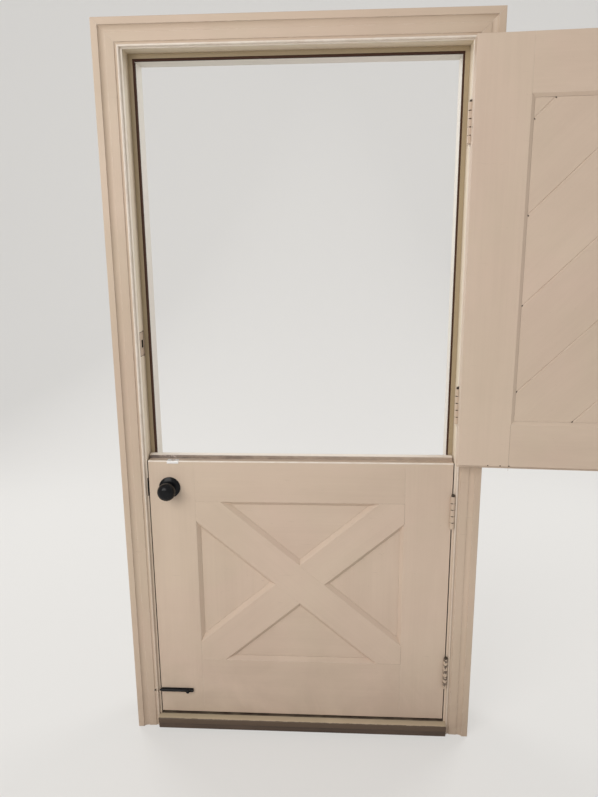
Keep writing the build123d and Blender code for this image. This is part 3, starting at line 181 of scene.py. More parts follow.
class DoorMetalSettings(bpy.types.PropertyGroup):
    """Metal fittings, weatherstrips, screws, sill and joint lines."""

    black: colour_setting("Black Fittings", "Lacquer of the knobs, roses and slide bolt",
                          (0.0072, 0.0074, 0.0086))
    steel: colour_setting("Steel", "Bolts and keeper", (0.88, 0.87, 0.86))
    pin: colour_setting("Hinge Pins", "Unpainted heads of the hinge pins", (0.060, 0.046, 0.034))
    strip: colour_setting("Weatherstrip", "Dark bronze strips on the stops", (0.070, 0.036, 0.025))
    sill: colour_setting("Sill", "Dark stained timber of the sill", (0.062, 0.033, 0.019))
    line: colour_setting("Joint Lines", "Dirt in the joints between members", (0.360, 0.270, 0.200))
    screw_radius: FloatProperty(
        name="Screw Radius", description="Radius of a hinge screw's head", default=0.0042, min=0.001,
        max=0.01, unit="LENGTH",
    )
    line_width: FloatProperty(
        name="Joint Line Width", description="Width of the hairlines at joints", default=0.0007, min=0.0001,
        max=0.003, unit="LENGTH",
    )


class DoorStageSettings(bpy.types.PropertyGroup):
    """Floor, backdrop, lamps and camera."""

    floor: colour_setting("Floor", "Pale floor and backdrop", (0.70, 0.69, 0.67))
    backdrop_glow: FloatProperty(
        name="Backdrop Glow", description="Light that the camera sees on the backdrop", default=0.46, min=0.0,
        max=1.0,
    )
    far_glow: FloatProperty(
        name="Far Glow", description="Light that the camera sees beyond the backdrop", default=0.80, min=0.0,
        max=1.0,
    )
    key_power: FloatProperty(
        name="Key Lamp", description="Power of the front lamp", default=74.0, min=0.0, unit="POWER"
    )
    back_power: FloatProperty(
        name="Back Lamps", description="Power of each lamp beyond the door", default=50.0, min=0.0,
        unit="POWER",
    )
    world_light: FloatProperty(
        name="Room Light", description="Strength of the even light all round", default=0.52, min=0.0, max=2.0
    )
    lens: FloatProperty(
        name="Lens", description="Focal length on a 36 mm sensor", default=29.635, min=1.0, unit="CAMERA"
    )


# Node building

def socket_of(sockets, name):
    """A socket by its identifier, or by its name or number."""
    for socket in sockets:
        if socket.identifier == name:
            return socket
    return sockets[name]


def give(tree, sockets, values):
    """Links each value to its socket, or sets it there where it is a plain value."""
    for key, value in values.items():
        if isinstance(value, bpy.types.NodeSocket):
            tree.links.new(value, socket_of(sockets, key))
        else:
            socket_of(sockets, key).default_value = value


def place(tree, kind, values=None, **settings):
    """Adds a node, with settings on it and values or links on its inputs."""
    node = tree.nodes.new(kind)
    for key, value in settings.items():
        setattr(node, key, value)
    give(tree, node.inputs, values or {})
    return node


def mixed(tree, share, first, second, blend="MIX"):
    """A mix of two colours."""
    values = {"Factor_Float": share, "A_Color": first, "B_Color": second}
    node = place(tree, "ShaderNodeMix", values, data_type="RGBA", blend_type=blend)
    return socket_of(node.outputs, "Result_Color")


def maths(tree, operation, first, second=0.0, clamp=False):
    """One sum on two values."""
    values = {0: first, 1: second}
    return place(tree, "ShaderNodeMath", values, operation=operation, use_clamp=clamp).outputs[0]


def product(tree, first, *others):
    """Values or masks multiplied together."""
    for other in others:
        first = maths(tree, "MULTIPLY", first, other)
    return first


def distance(tree, value, middle):
    """How far a value is from a middle, to either side."""
    return maths(tree, "ABSOLUTE", maths(tree, "SUBTRACT", value, middle))


def ranged(tree, value, low, high, to_low=0.0, to_high=1.0):
    """A value carried from one range to another, held between its ends."""
    values = {"Value": value, "From Min": low, "From Max": high, "To Min": to_low, "To Max": to_high}
    return place(tree, "ShaderNodeMapRange", values).outputs["Result"]


def between(tree, value, rise, fall):
    """A mask that rises over one short stretch of a value and falls over another."""
    return product(tree, ranged(tree, value, *rise), ranged(tree, value, *fall))


def noise(tree, vector, scale, detail=3.0, roughness=0.55, distortion=0.0):
    """A soft noise between 0 and 1."""
    values = {"Vector": vector, "Scale": scale, "Detail": detail, "Roughness": roughness,
              "Distortion": distortion}
    return place(tree, "ShaderNodeTexNoise", values).outputs[0]


def patchy(tree, at, scale, least, most, low=0.3, high=0.6, roughness=0.6):
    """Uneven patches that run between two shares."""
    return ranged(tree, noise(tree, at, scale, 4.0, roughness), low, high, least, most)


def stretched(tree, vector, scale):
    """Coordinates pulled out or pressed in along each axis."""
    return place(tree, "ShaderNodeMapping", {"Vector": vector, "Scale": scale}).outputs[0]


def object_at(tree):
    """The point's place on its object."""
    return place(tree, "ShaderNodeTexCoord").outputs["Object"]


def apart(tree, vector):
    """The X, Y and Z of a vector."""
    return place(tree, "ShaderNodeSeparateXYZ", {0: vector}).outputs


def new_group(name, inputs, outputs):
    """An empty node group with the sockets named, and the nodes for its inputs and outputs."""
    tree = bpy.data.node_groups.new(name, "ShaderNodeTree")
    kinds = {"Colour": "NodeSocketColor", "Shade": "NodeSocketColor", "Normal": "NodeSocketVector"}
    for way, labels in (("INPUT", inputs), ("OUTPUT", outputs)):
        for label in labels:
            kind = kinds.get(label.split()[-1], "NodeSocketFloat")
            tree.interface.new_socket(name=label, in_out=way, socket_type=kind)
    return tree, tree.nodes.new("NodeGroupInput").outputs, tree.nodes.new("NodeGroupOutput").inputs


def brushed_paint_group(name):
    """Paint laid on with a brush along a member: soft streaks, blotches and a fine ripple."""
    inputs = ("Colour", "Shade", "Turn", "Streaks", "Blotches", "Roughness")
    tree, given, out = new_group(name, inputs, ("Colour", "Roughness", "Height"))
    at = object_at(tree)
    turned = {"Vector": at, "Angle": product(tree, given["Turn"], -1.0)}
    along = place(tree, "ShaderNodeVectorRotate", turned, rotation_type="Y_AXIS").outputs[0]
    streak = noise(tree, stretched(tree, along, (75.0, 75.0, 1.6)), 2.0, 5.0, 0.62)
    broad = noise(tree, stretched(tree, along, (9.0, 9.0, 1.1)), 1.3, 3.0, 0.5)
    blotch = noise(tree, at, 3.1, 4.0, 0.58, 0.3)
    ripple = noise(tree, stretched(tree, along, (1.0, 1.0, 0.25)), 420.0, 2.0, 0.5)
    own = place(tree, "ShaderNodeObjectInfo").outputs["Random"]
    streaks = product(tree, ranged(tree, streak, 0.32, 0.72), given["Streaks"])
    blotches = product(tree, ranged(tree, maths(tree, "ADD", broad, blotch), 0.75, 1.3), given["Blotches"])
    shade = maths(tree, "ADD", maths(tree, "ADD", streaks, blotches), product(tree, own, 0.03), True)
    toned = mixed(tree, shade, given["Colour"], given["Shade"])
    drift = ranged(tree, noise(tree, at, 2.3, 3.0, 0.6, 0.8), 0.36, 0.62)
    tint = mixed(tree, drift, (1.012, 0.993, 0.992, 1.0), (0.992, 1.0, 0.978, 1.0))
    gloss = ranged(tree, blotch, 0.3, 0.7, -0.07, 0.09)
    give(tree, out, {
        "Colour": mixed(tree, 1.0, toned, tint, "MULTIPLY"),
        "Roughness": maths(tree, "ADD", given["Roughness"], gloss, True),
        "Height": maths(tree, "ADD", product(tree, streak, 0.45), product(tree, ripple, 0.30)),
    })
    return tree


def eased_edge_group(name):
    """Where the sharp edges are, and a normal that rounds them a little."""
    tree, given, out = new_group(name, ("Radius",), ("Edge", "Normal"))
    rounded = place(tree, "ShaderNodeBevel", {"Radius": given["Radius"]}, samples=4).outputs[0]
    flat = place(tree, "ShaderNodeNewGeometry").outputs["True Normal"]
    agreement = place(tree, "ShaderNodeVectorMath", {0: rounded, 1: flat}, operation="DOT_PRODUCT")
    edge = ranged(tree, agreement.outputs["Value"], 0.995, 0.86)
    give(tree, out, {"Edge": edge, "Normal": rounded})
    return tree


def wear_and_grime_group(name):
    """Dirt that thickens towards the floor, small scuffs, and rubbed edges."""
    inputs = ("Colour", "Grime Colour", "Bare Colour", "Grime", "Scuffs", "Rubbed", "Edge", "Reach")
    tree, given, out = new_group(name, inputs, ("Colour", "Mask"))
    at = object_at(tree)
    height = apart(tree, at)["Z"]
    low = maths(tree, "POWER", ranged(tree, height, 0.02, given["Reach"], 1.0, 0.0), 1.7)
    settled = product(tree, low, ranged(tree, noise(tree, at, 5.5, 5.0, 0.62, 0.6), 0.28, 0.62, 0.35, 1.0))
    specks = patchy(tree, stretched(tree, at, (1.0, 1.0, 2.4)), 46.0, 0.0, 1.0, 0.665, 0.735, 0.7)
    drags = patchy(tree, stretched(tree, at, (5.0, 5.0, 42.0)), 2.2, 0.0, 1.0, 0.665, 0.76)
    fewer_high_up = ranged(tree, height, 0.0, 1.4, 1.0, 0.35)
    marks = product(tree, maths(tree, "MAXIMUM", specks, drags), given["Scuffs"], fewer_high_up)
    dirt = maths(tree, "MAXIMUM", product(tree, settled, given["Grime"]), marks, True)
    dirty = mixed(tree, dirt, given["Colour"], given["Grime Colour"])
    uneven = product(tree, given["Edge"], patchy(tree, at, 38.0, 0.0, 1.0, 0.42, 0.6, 0.65))
    rubbed = maths(tree, "MULTIPLY", uneven, given["Rubbed"], True)
    give(tree, out, {
        "Colour": mixed(tree, rubbed, dirty, given["Bare Colour"]),
        "Mask": maths(tree, "MAXIMUM", dirt, rubbed),
    })
    return tree


def worn_finish_group(name):
    """A lacquered or bare metal surface with hand smudges, fine scratches and rubbed edges."""
    inputs = ("Colour", "Worn Colour", "Wear", "Edge", "Roughness", "Smudges")
    tree, given, out = new_group(name, inputs, ("Colour", "Roughness", "Height", "Worn"))
    at = object_at(tree)
    smudge = noise(tree, at, 28.0, 4.0, 0.6, 0.4)
    scratch = noise(tree, stretched(tree, at, (1.0, 1.0, 14.0)), 90.0, 3.0, 0.6)
    pits = noise(tree, at, 620.0, 2.0, 0.5)
    uneven = ranged(tree, noise(tree, at, 120.0, 3.0, 0.6), 0.42, 0.62)
    lines = ranged(tree, scratch, 0.66, 0.74, 0.0, 0.5)
    rubbed = product(tree, maths(tree, "MAXIMUM", given["Edge"], lines), uneven)
    worn = maths(tree, "MULTIPLY", rubbed, given["Wear"], True)
    handled = ranged(tree, smudge, 0.35, 0.7, 0.0, 0.35)
    toned = mixed(tree, handled, given["Colour"], given["Worn Colour"])
    base = mixed(tree, product(tree, given["Wear"], 0.25), given["Colour"], toned)
    spread = product(tree, ranged(tree, smudge, 0.3, 0.7, -0.5, 0.5), given["Smudges"])
    give(tree, out, {
        "Colour": mixed(tree, worn, base, given["Worn Colour"]),
        "Roughness": maths(tree, "ADD", given["Roughness"], spread, True),
        "Height": maths(tree, "ADD", product(tree, pits, 0.5), product(tree, scratch, 0.5)),
        "Worn": worn,
    })
    return tree


def stained_timber_group(name):
    """Open-grained timber with a dark stain, its grain along the opening."""
    tree, given, out = new_group(name, ("Colour", "Shade", "Roughness"), ("Colour", "Roughness", "Height"))
    at = object_at(tree)
    bent = ranged(tree, noise(tree, stretched(tree, at, (0.7, 6.0, 6.0)), 1.6, 3.0), 0.3, 0.7, 0.0, 0.4)
    grain = noise(tree, stretched(tree, at, (2.2, 130.0, 130.0)), 1.5, 5.0, 0.66, 0.5)
    gloss = ranged(tree, grain, 0.3, 0.7, -0.08, 0.14)
    pores = ranged(tree, noise(tree, stretched(tree, at, (7.0, 420.0, 420.0)), 1.5, 2.0), 0.55, 0.7)
    shade = maths(tree, "ADD", ranged(tree, grain, 0.3, 0.7, 0.0, 0.6), bent, True)
    give(tree, out, {
        "Colour": mixed(tree, shade, given["Colour"], given["Shade"]),
        "Roughness": maths(tree, "ADD", given["Roughness"], gloss, True),
        "Height": maths(tree, "SUBTRACT", grain, product(tree, pores, 0.5)),
    })
    return tree


def new_material(name):
    """A material with its node tree and its Principled shader."""
    material = bpy.data.materials.new(name)
    material.use_nodes = True
    tree = material.node_tree
    return material, tree, tree.nodes["Principled BSDF"]


def grouped(tree, name, maker, values):
    """One of the shared effects, built the first time it is asked for, with this material's values."""
    node = place(tree, "ShaderNodeGroup", node_tree=bpy.data.node_groups.get(name) or maker(name))
    give(tree, node.inputs, values)
    return node.outputs


def bumped(tree, height, normal, depth, strength):
    """A normal with relief from a height, over an eased edge."""
    values = {"Height": height, "Normal": normal, "Distance": depth, "Strength": strength}
    return place(tree, "ShaderNodeBump", values).outputs[0]


def darker(colour, share):
    """A colour taken down by a share, a little warmer."""
    return (colour[0] * share, colour[1] * share * 0.97, colour[2] * share * 0.92, 1.0)


def weathered(tree, shader, base, settings, bare, grime, scuffs, rubbed, reach):
    """Lays wear and grime over a base coat, and gives its mask and the normal of its eased edges."""
    edge = grouped(tree, "Eased Edge", eased_edge_group, {"Radius": settings.edge_radius})
    worn = grouped(tree, "Wear and Grime", wear_and_grime_group, {
        "Colour": base["Colour"], "Grime Colour": settings.grime[:], "Bare Colour": bare, "Grime": grime,
        "Scuffs": scuffs, "Rubbed": rubbed, "Edge": edge["Edge"], "Reach": reach,
    })
    give(tree, shader.inputs, {"Base Color": worn["Colour"]})
    return worn["Mask"], edge["Normal"]


def paint(name, colour, settings, turn=0.0, streaks=0.10, blotches=0.26, grime=0.35, scuffs=0.28,
          rubbed=0.45, reach=0.55):
    """Brushed paint on timber, its streaks along a member turned from upright."""
    material, tree, shader = new_material(name)
    base = grouped(tree, "Brushed Paint", brushed_paint_group, {
        "Colour": colour, "Shade": darker(colour, 0.70), "Turn": turn, "Streaks": streaks,
        "Blotches": blotches, "Roughness": settings.roughness,
    })
    mask, normal = weathered(tree, shader, base, settings, settings.bare[:], grime, scuffs, rubbed, reach)
    give(tree, shader.inputs, {
        "Roughness": maths(tree, "ADD", base["Roughness"], product(tree, mask, 0.2), True),
        "Specular IOR Level": 0.42,
        "Normal": bumped(tree, base["Height"], normal, 0.0004, 0.4),
    })
    return material


def stained_timber(name, colour, settings):
    """Stained timber with rubbed edges and scuffs."""
    material, tree, shader = new_material(name)
    values = {"Colour": colour, "Shade": darker(colour, 0.35), "Roughness": 0.48}
    base = grouped(tree, "Stained Timber", stained_timber_group, values)
    bare = (0.21, 0.14, 0.09, 1.0)
    normal = weathered(tree, shader, base, settings, bare, grime=0.25, scuffs=0.6, rubbed=0.7, reach=0.05)[1]
    relief = bumped(tree, base["Height"], normal, 0.0006, 0.6)
    give(tree, shader.inputs, {"Roughness": base["Roughness"], "Normal": relief})
    return material


def metal(name, colour, worn_colour, roughness, metallic=0.0, wear=0.3, smudges=0.15, specular=0.5):
    """A fitting's finish, lacquered or bare."""
    material, tree, shader = new_material(name)
    edge = grouped(tree, "Eased Edge", eased_edge_group, {"Radius": 0.0005})
    base = grouped(tree, "Worn Finish", worn_finish_group, {
        "Colour": colour, "Worn Colour": worn_colour, "Wear": wear, "Edge": edge["Edge"],
        "Roughness": roughness, "Smudges": smudges,
    })
    give(tree, shader.inputs, {
        "Base Color": base["Colour"],
        "Roughness": base["Roughness"],
        "Metallic": maths(tree, "ADD", product(tree, base["Worn"], 0.8), metallic, True),
        "Specular IOR Level": specular,
        "Normal": bumped(tree, base["Height"], edge["Normal"], 0.0001, 0.35),
    })
    return material


# Masks of single places; those that painted calls take the point's place, whole and as X, Y and Z

def step_mask(tree, y, z):
    """The riser of the stepped top edge, where the two leaves meet."""
    above = ranged(tree, z, LOWER_TOP - 0.0004, LOWER_TOP + 0.0012)
    return product(tree, above, ranged(tree, y, STEP_BACK + 0.0022, STEP_BACK))


def riser_shade(tree, at, x, y, z):
    """Painted shade on the riser, in uneven patches, heavier towards the lock side."""
    uneven = patchy(tree, stretched(tree, at, (1.0, 3.0, 3.0)), 24.0, 0.65, 1.0, 0.35, 0.6, 0.65)
    heavier = ranged(tree, x, -0.40, 0.25, 0.95, 0.45)
    return product(tree, step_mask(tree, y, z), uneven, heavier)


def bolt_marks(tree, at, x, y, z):
    """Rubs on the riser where the bolt between the leaves has been missed."""
    near = ranged(tree, distance(tree, x, JOIN_X - 0.006), 0.046, 0.018)
    return product(tree, near, step_mask(tree, y, z), patchy(tree, at, 95.0, 0.0, 0.6, 0.50, 0.60, 0.7))


def top_wear_and_highlight(tree, at, x, y, z):
    """The front arris, rubbed pale by arms and hands and lightened further as a painted highlight, and the
    upper shelf of the top edge, made pale as a painted highlight.
    """
    rim = product(tree, ranged(tree, z, LOWER_TOP - 0.0042, LOWER_TOP - 0.0018),
                  ranged(tree, y, 0.0046, 0.0022))
    uneven = patchy(tree, stretched(tree, at, (1.0, 3.0, 3.0)), 24.0, 0.55, 1.0, 0.3, 0.55, 0.65)
    shelf = product(tree, ranged(tree, z, LOWER_TOP + 0.0110, LOWER_TOP + 0.0120), 0.85)
    return maths(tree, "MAXIMUM", product(tree, rim, uneven), shelf)


def upright_bead_highlight(tree, at, x, y, z):
    """Painted highlight on the bead that borders the opening on an upright casing, uneven and fainter low
    down.
    """
    across = maths(tree, "ABSOLUTE", x)
    beside = ranged(tree, across, CASING_INNER + BEAD_WIDTH, CASING_INNER + BEAD_WIDTH - 0.0012)
    fainter_low_down = ranged(tree, z, 0.5, 1.1, 0.25, 1.0)
    return product(tree, beside, patchy(tree, at, 30.0, 0.5, 0.85), fainter_low_down)


def level_bead_highlight(tree, at, x, y, z):
    """The same painted highlight on the bead of the head casing."""
    top = CASING_HEAD + BEAD_WIDTH
    over = between(tree, z, (CASING_HEAD - 0.0012, CASING_HEAD), (top, top - 0.0012))
    return product(tree, over, patchy(tree, at, 30.0, 0.5, 0.85))


def front_edge_highlight(tree, at, x, y, z):
    """Painted highlight on the edge of a jamb that faces the room, fainter beside the lower leaf."""
    front = ranged(tree, y, 0.0034, 0.0012)
    fainter_low_down = ranged(tree, z, 0.7, 1.1, 0.1, 1.0)
    return product(tree, front, patchy(tree, at, 18.0, 0.55, 0.9), fainter_low_down)


def low_jamb_no_painted_light(tree, at, x, y, z):
    """The part of the jambs beside the lower leaf, coloured mostly like the casings, without the painted
    light of the paler jamb colour.
    """
    return ranged(tree, z, 0.98, 0.86, 0.0, 0.75)


def gap_dirt_and_shade(tree, at, x, y, z):
    """Dirt and painted shade on the faces of the jambs, in the narrow gap beside the lower leaf."""
    within = between(tree, y, (0.0010, 0.0020), (0.0170, 0.0110))
    beside = ranged(tree, z, LOWER_TOP, LOWER_TOP - 0.003)
    facing = ranged(tree, maths(tree, "ABSOLUTE", x), JAMB_FACE + 0.0008, JAMB_FACE + 0.0002)
    return product(tree, within, beside, facing, patchy(tree, at, 22.0, 0.55, 0.85))


def threshold_dirt_and_shade(tree, at, x, y, z):
    """Dirt and painted shade on the threshold under the front of the closed leaf."""
    within = between(tree, y, (-0.0012, 0.0004), (0.0180, 0.0120))
    return product(tree, within, patchy(tree, at, 22.0, 0.65, 0.92))


def stop_front_shade(tree, at, x, y, z):
    """Painted shade on the face of the stops that the closed leaves meet."""
    return ranged(tree, y, STOP_FACE + 0.0016, STOP_FACE + 0.0008)


def strike_hole_shade(tree, at, x, y, z):
    """Painted shade in the holes behind the two strikes, where no light comes back."""
    pocket = between(tree, x, (-JAMB_FACE - 0.0002, -JAMB_FACE - 0.0008),
                     (-JAMB_FACE - STRIKE_POCKET, -JAMB_FACE - STRIKE_POCKET + 0.0005))
    share = 0.0
    for hole_y, hole_z in ((LATCH_Y, LATCH_Z), (DEADBOLT_Y, DEADBOLT_Z)):
        off = maths(tree, "MAXIMUM", distance(tree, y, hole_y), distance(tree, z, hole_z))
        near = ranged(tree, off, STRIKE_HOLE_HALF + 0.0005, STRIKE_HOLE_HALF)
        share = maths(tree, "MAXIMUM", share, near)
    return product(tree, pocket, share)


def low_hinge_chips(tree, at, x, y, z):
    """Chips in the paint of the lowest hinge, most of them at the ends of its knuckles."""
    off = maths(tree, "SUBTRACT", z, LOWER_HINGES[1])
    near = ranged(tree, maths(tree, "ABSOLUTE", off), BARREL_LENGTH / 2 + 0.002, BARREL_LENGTH / 2)
    wave = maths(tree, "SINE", product(tree, off, math.tau * KNUCKLES / BARREL_LENGTH))
    ragged = maths(tree, "ADD", noise(tree, at, 150.0, 4.0, 0.65), product(tree, wave, 0.07))
    return product(tree, near, ranged(tree, ragged, 0.50, 0.56, 0.0, 0.85))


def threshold_dark_front(tree, at, x, y, z):
    """Front faces of the threshold, coloured towards the dark sill the more squarely they face the room."""
    facing = place(tree, "ShaderNodeNewGeometry").outputs["Normal"]
    front = product(tree, apart(tree, facing)["Y"], -1.0)
    ragged = maths(tree, "ADD", front, patchy(tree, at, 60.0, -0.18, 0.18, 0.3, 0.7, 0.65))
    return product(tree, ranged(tree, ragged, 0.30, 0.62), 0.92)


def dress(material, *names):
    """Gives CAD pieces a material in place of the plain one."""
    for name in names:
        node = frame["nodes"][name]
        if not node.material_slots:
            node.data.materials.append(material)
        for slot in node.material_slots:
            slot.material = material


def painted(settings, name, colour, pieces, marks=(), **values):
    """Paints some CAD pieces alike; each mark lays one more colour over the paint, where its mask says."""
    material = paint(name, colour, settings, **values)
    tree = material.node_tree
    at = object_at(tree)
    target = tree.nodes["Principled BSDF"].inputs["Base Color"]
    for mask, tone in marks:
        before = target.links[0].from_socket
        tree.links.new(mixed(tree, mask(tree, at, *apart(tree, at)), before, tone), target)
    dress(material, *pieces)
    return material


# Small pieces made here; those of the upper leaf are laid out on it closed, and carried to its open place

def opened_way(way):
    """A direction on the closed upper leaf, turned with it."""
    return Matrix.Rotation(OPEN_TURN, 3, "Z") @ Vector(way)


def opened(point):
    """A place on the closed upper leaf, carried to where the open leaf has it."""
    axis = Vector((HINGE_AXIS.x, HINGE_AXIS.y, 0))
    return opened_way(Vector(point) - axis) + axis


def link_piece(name, bm, body, material, turn_out=True):
    """Puts a new piece in the scene, riding on its body, and returns its mesh."""
    if turn_out:
        bmesh.ops.recalc_face_normals(bm, faces=bm.faces)
    mesh = bpy.data.meshes.new(name)
    bm.to_mesh(mesh)
    bm.free()
    mesh.materials.append(material)
    piece = bpy.data.objects.new(name, mesh)
    bpy.context.scene.collection.objects.link(piece)
    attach(piece, body)
    return mesh


def bridge(bm, first, second, closed=False):
    """Faces between two rows of points."""
    for index in range(len(first) - (not closed)):
        after = (index + 1) % len(first)
        bm.faces.new((first[index], first[after], second[after], second[index]))


def add_head(bm, at, way, slot_turn, radius):
    """One countersunk screw head: two low halves either side of its slot, over a sunk floor."""
    way = Vector(way).normalized()
    side = way.orthogonal().normalized()
    side.rotate(Matrix.Rotation(slot_turn, 3, way))
    up = way.cross(side)
    half_slot = rise = radius * 0.13
    inner, steps, rim_steps = radius * 0.88, 10, 20

    def point(x, y, z):
        return bm.verts.new(Vector(at) + side * x + up * y + way * z)

    rim = [math.tau * step / rim_steps for step in range(rim_steps)]
    bm.faces.new([point(radius * math.cos(a), radius * math.sin(a), rise * 0.22) for a in rim])
    start = math.asin(half_slot / radius)
    arc = [start + (math.pi - 2 * start) * step / steps for step in range(steps + 1)]
    for sign in (1, -1):
        low = [point(radius * math.cos(a), sign * radius * math.sin(a), 0.0) for a in arc]
        top = [point(inner * math.cos(a), sign * max(half_slot, inner * math.sin(a)), rise) for a in arc]
        bridge(bm, low, top)
        bm.faces.new(top)
        bm.faces.new((low[-1], low[0], top[0], top[-1]))


def screw_heads(name, places, radius, body, slot_name):
    """A set of screw heads as one piece; each place is a point, a way out and the slot's turn."""
    bm = bmesh.new()
    for at, way, turn in places:
        if body == "upper_leaf":
            at, way = opened(at), opened_way(way)
        add_head(bm, at, way, turn, radius)
    link_piece(name, bm, body, bpy.data.materials[SCREW_FINISHES[slot_name]])


def hinge_screws(heights, x, way, step):
    """Places of the screws of hinges; each slot is turned a step further than the last."""
    return [((x, y, height + rise), way, step * number + height)
            for height in heights for number, (y, rise) in enumerate(HINGE_SCREWS)]


def hairlines(name, runs, width, body, material):
    """Thin lines just proud of a face; each run is its two ends and the face's way out."""
    bm = bmesh.new()
    for start, end, way in runs:
        if body == "upper_leaf":
            start, end, way = opened(start), opened(end), opened_way(way)
        start, end, way = Vector(start), Vector(end), Vector(way).normalized()
        side = way.cross(end - start).normalized()
        count = max(2, round((end - start).length / 0.03))
        rows = []
        for step in range(count + 1):
            share = step / count
            wander = 0.5 + 0.5 * math.sin(37.0 * share + 11.0 * start.x + 5.0 * start.z) ** 2
            half = side * (width / 2) * (0.45 + 0.55 * wander)
            spine = start.lerp(end, share) + way * PROUD
            rows.append([bm.verts.new(at) for at in (spine - half, spine + way * RIDGE, spine + half)])
        for near, far in zip(rows, rows[1:]):
            bridge(bm, near, far)
    link_piece(name, bm, body, material, turn_out=False)


def knuckle_gaps(name, heights, material):
    """Painted shade in the gaps between the knuckles: low dark rings round each hinge barrel, ragged where
    paint fills them.
    """
    bm = bmesh.new()
    angles = [math.tau * step / 40 for step in range(40)]
    for height in heights:
        for index in range(1, KNUCKLES):
            level = height - BARREL_LENGTH / 2 + BARREL_LENGTH * index / KNUCKLES
            rings = []
            for offset, proud in ((-1.0, 0.00002), (-0.5, 0.00016), (0.5, 0.00016), (1.0, 0.00002)):
                ring, radius = [], BARREL_RADIUS + proud
                for angle in angles:
                    tall = 0.0009 + 0.0006 * math.sin(3 * angle + 7 * index + 40 * height)
                    x, y = radius * math.cos(angle), radius * math.sin(angle)
                    ring.append(bm.verts.new((HINGE_AXIS.x + x, HINGE_AXIS.y + y, level + offset * tall)))
                rings.append(ring)
            for low, high in zip(rings, rings[1:]):
                bridge(bm, low, high, closed=True)
    link_piece(name, bm, "frame", material, turn_out=False)


def bottom_seal(name, material):
    """A finned strip under the lower leaf that closes the gap over the threshold."""
    bm = bmesh.new()
    reach = LEAF_EDGE - 0.002
    ends = [[bm.verts.new((x, y, z)) for y, z in SEAL_PROFILE] for x in (-reach, reach)]
    bridge(bm, *ends, closed=True)
    for end in ends:
        bm.faces.new(end)
    link_piece(name, bm, "lower_leaf", material)


def lower_joint_runs():
    """Joint lines that still show on the faces of the lower leaf, on its hinge side."""
    slope = math.atan2((LOWER_FIELD_HIGH - LOWER_FIELD_LOW) / 2, LOWER_FIELD_X)
    half_rise, half_run = BRACE_WIDTH / 2 / math.cos(slope), BRACE_WIDTH / 2 / math.sin(slope)
    x, low, high = LOWER_FIELD_X, LOWER_FIELD_LOW, LOWER_FIELD_HIGH
    lines = (
        (x, low, x, low + half_rise), (x, high - half_rise, x, high),
        (x, low, x - half_run, low), (x, high, x - half_run, high),
    )
    return [((from_x, y, from_z), (to_x, y, to_z), (0, outwards, 0))
            for y, outwards in LEAF_FACES for from_x, from_z, to_x, to_z in lines]


def upper_joint_runs():
    """Joint lines below the boards on the faces of the upper leaf."""
    return [((x, y, UPPER_BOTTOM), (x, y, UPPER_FIELD_LOW), (0, outwards, 0))
            for y, outwards in LEAF_FACES for x in (-UPPER_FIELD_X, UPPER_FIELD_X)]


def strike_edge_runs():
    """The edges of the deadbolt strike, where the paint has cracked, and chips across its ends."""
    x, near, back, way = -JAMB_FACE, STRIKE_BACK - STRIKE_WIDTH, STRIKE_BACK, (1, 0, 0)
    low, high = DEADBOLT_Z - STRIKE_HEIGHT / 2, DEADBOLT_Z + STRIKE_HEIGHT / 2
    sides = [((x, y, low), (x, y, high), way) for y in (near, back - 0.0006)]
    ends = [((x, near, z), (x, back, z), way) for z in (low, high)]
    levels = (low - 0.0022, low + 0.0024, high + 0.0018)
    chips = [((x, back - 0.012, z), (x, back - 0.001, z), way) for z in levels]
    return sides, ends, chips


def grooves():
    """The two ends of each groove between the slanting boards, where it meets the sunk border."""
    reach_x = UPPER_FIELD_X - UPPER_BEVEL
    low, high = UPPER_FIELD_LOW + UPPER_BEVEL, UPPER_FIELD_HIGH - UPPER_BEVEL
    lines = []
    for index in range(len(UPPER_BOARDS) - 1):
        across = (CORNER_BOARD_WIDTH + index * BOARD_WIDTH) * math.sqrt(2)
        x = UPPER_FIELD_X - (across - (UPPER_FIELD_HIGH - high))
        side_z = UPPER_FIELD_HIGH - (across - UPPER_FIELD_X - reach_x)
        far = (x, high) if x > -reach_x else (-reach_x, side_z)
        z = UPPER_FIELD_HIGH - (across - UPPER_BEVEL)
        near = (reach_x, z) if z > low else (UPPER_FIELD_X - (across - (UPPER_FIELD_HIGH - low)), low)
        lines.append((near, far))
    return lines


def groove_end_shade_runs():
    """Short runs of painted shade at the ends of the grooves, slanted towards the middle of the boards."""
    middle = (UPPER_FIELD_LOW + UPPER_FIELD_HIGH) / 2
    runs = []
    for face_y, outwards in FIELD_FACES:
        for x, z in [end for line in grooves() for end in line]:
            inward = Vector((-math.copysign(1, x), 0, -math.copysign(1, z - middle))) * 0.0012
            at = Vector((x, face_y, z))
            runs.append((at, at + inward * 2.5, (0, outwards, 0)))
    return runs


def nick_runs():
    """Three nicks in the outer face of the upper leaf, near its lower edge."""
    y, low, high = LEAF_THICKNESS, UPPER_BOTTOM + 0.0125, UPPER_BOTTOM + 0.0155
    return [((x, y, low), (x, y, high), (0, 1, 0)) for x in (0.373, 0.339, 0.315)]


def groove_fills(name, material):
    """Old paint that has half filled the grooves, as shallow troughs along them."""
    bm = bmesh.new()
    across = Vector((1, 0, 1)).normalized()
    for face_y, outwards in FIELD_FACES:
        for near, far in grooves():
            near, far = Vector((near[0], face_y, near[1])), Vector((far[0], face_y, far[1]))
            count = max(2, round((far - near).length / 0.02))
            rows = []
            for step in range(count + 1):
                spine = near.lerp(far, step / count)
                sag = 1.0 + 0.12 * math.sin(41.0 * spine.x + 3.0 * near.z)
                row = []
                for aside, depth in GROOVE_SECTION:
                    sunk = depth * (sag if abs(aside) < 1.6 else 1.0)
                    at = spine + across * (aside / 1000) - Vector((0, outwards * sunk / 1000, 0))
                    row.append(bm.verts.new(opened(at)))
                rows.append(row)
            for first, second in zip(rows, rows[1:]):
                bridge(bm, first, second)
    link_piece(name, bm, "upper_leaf", material).shade_smooth()


# Operators

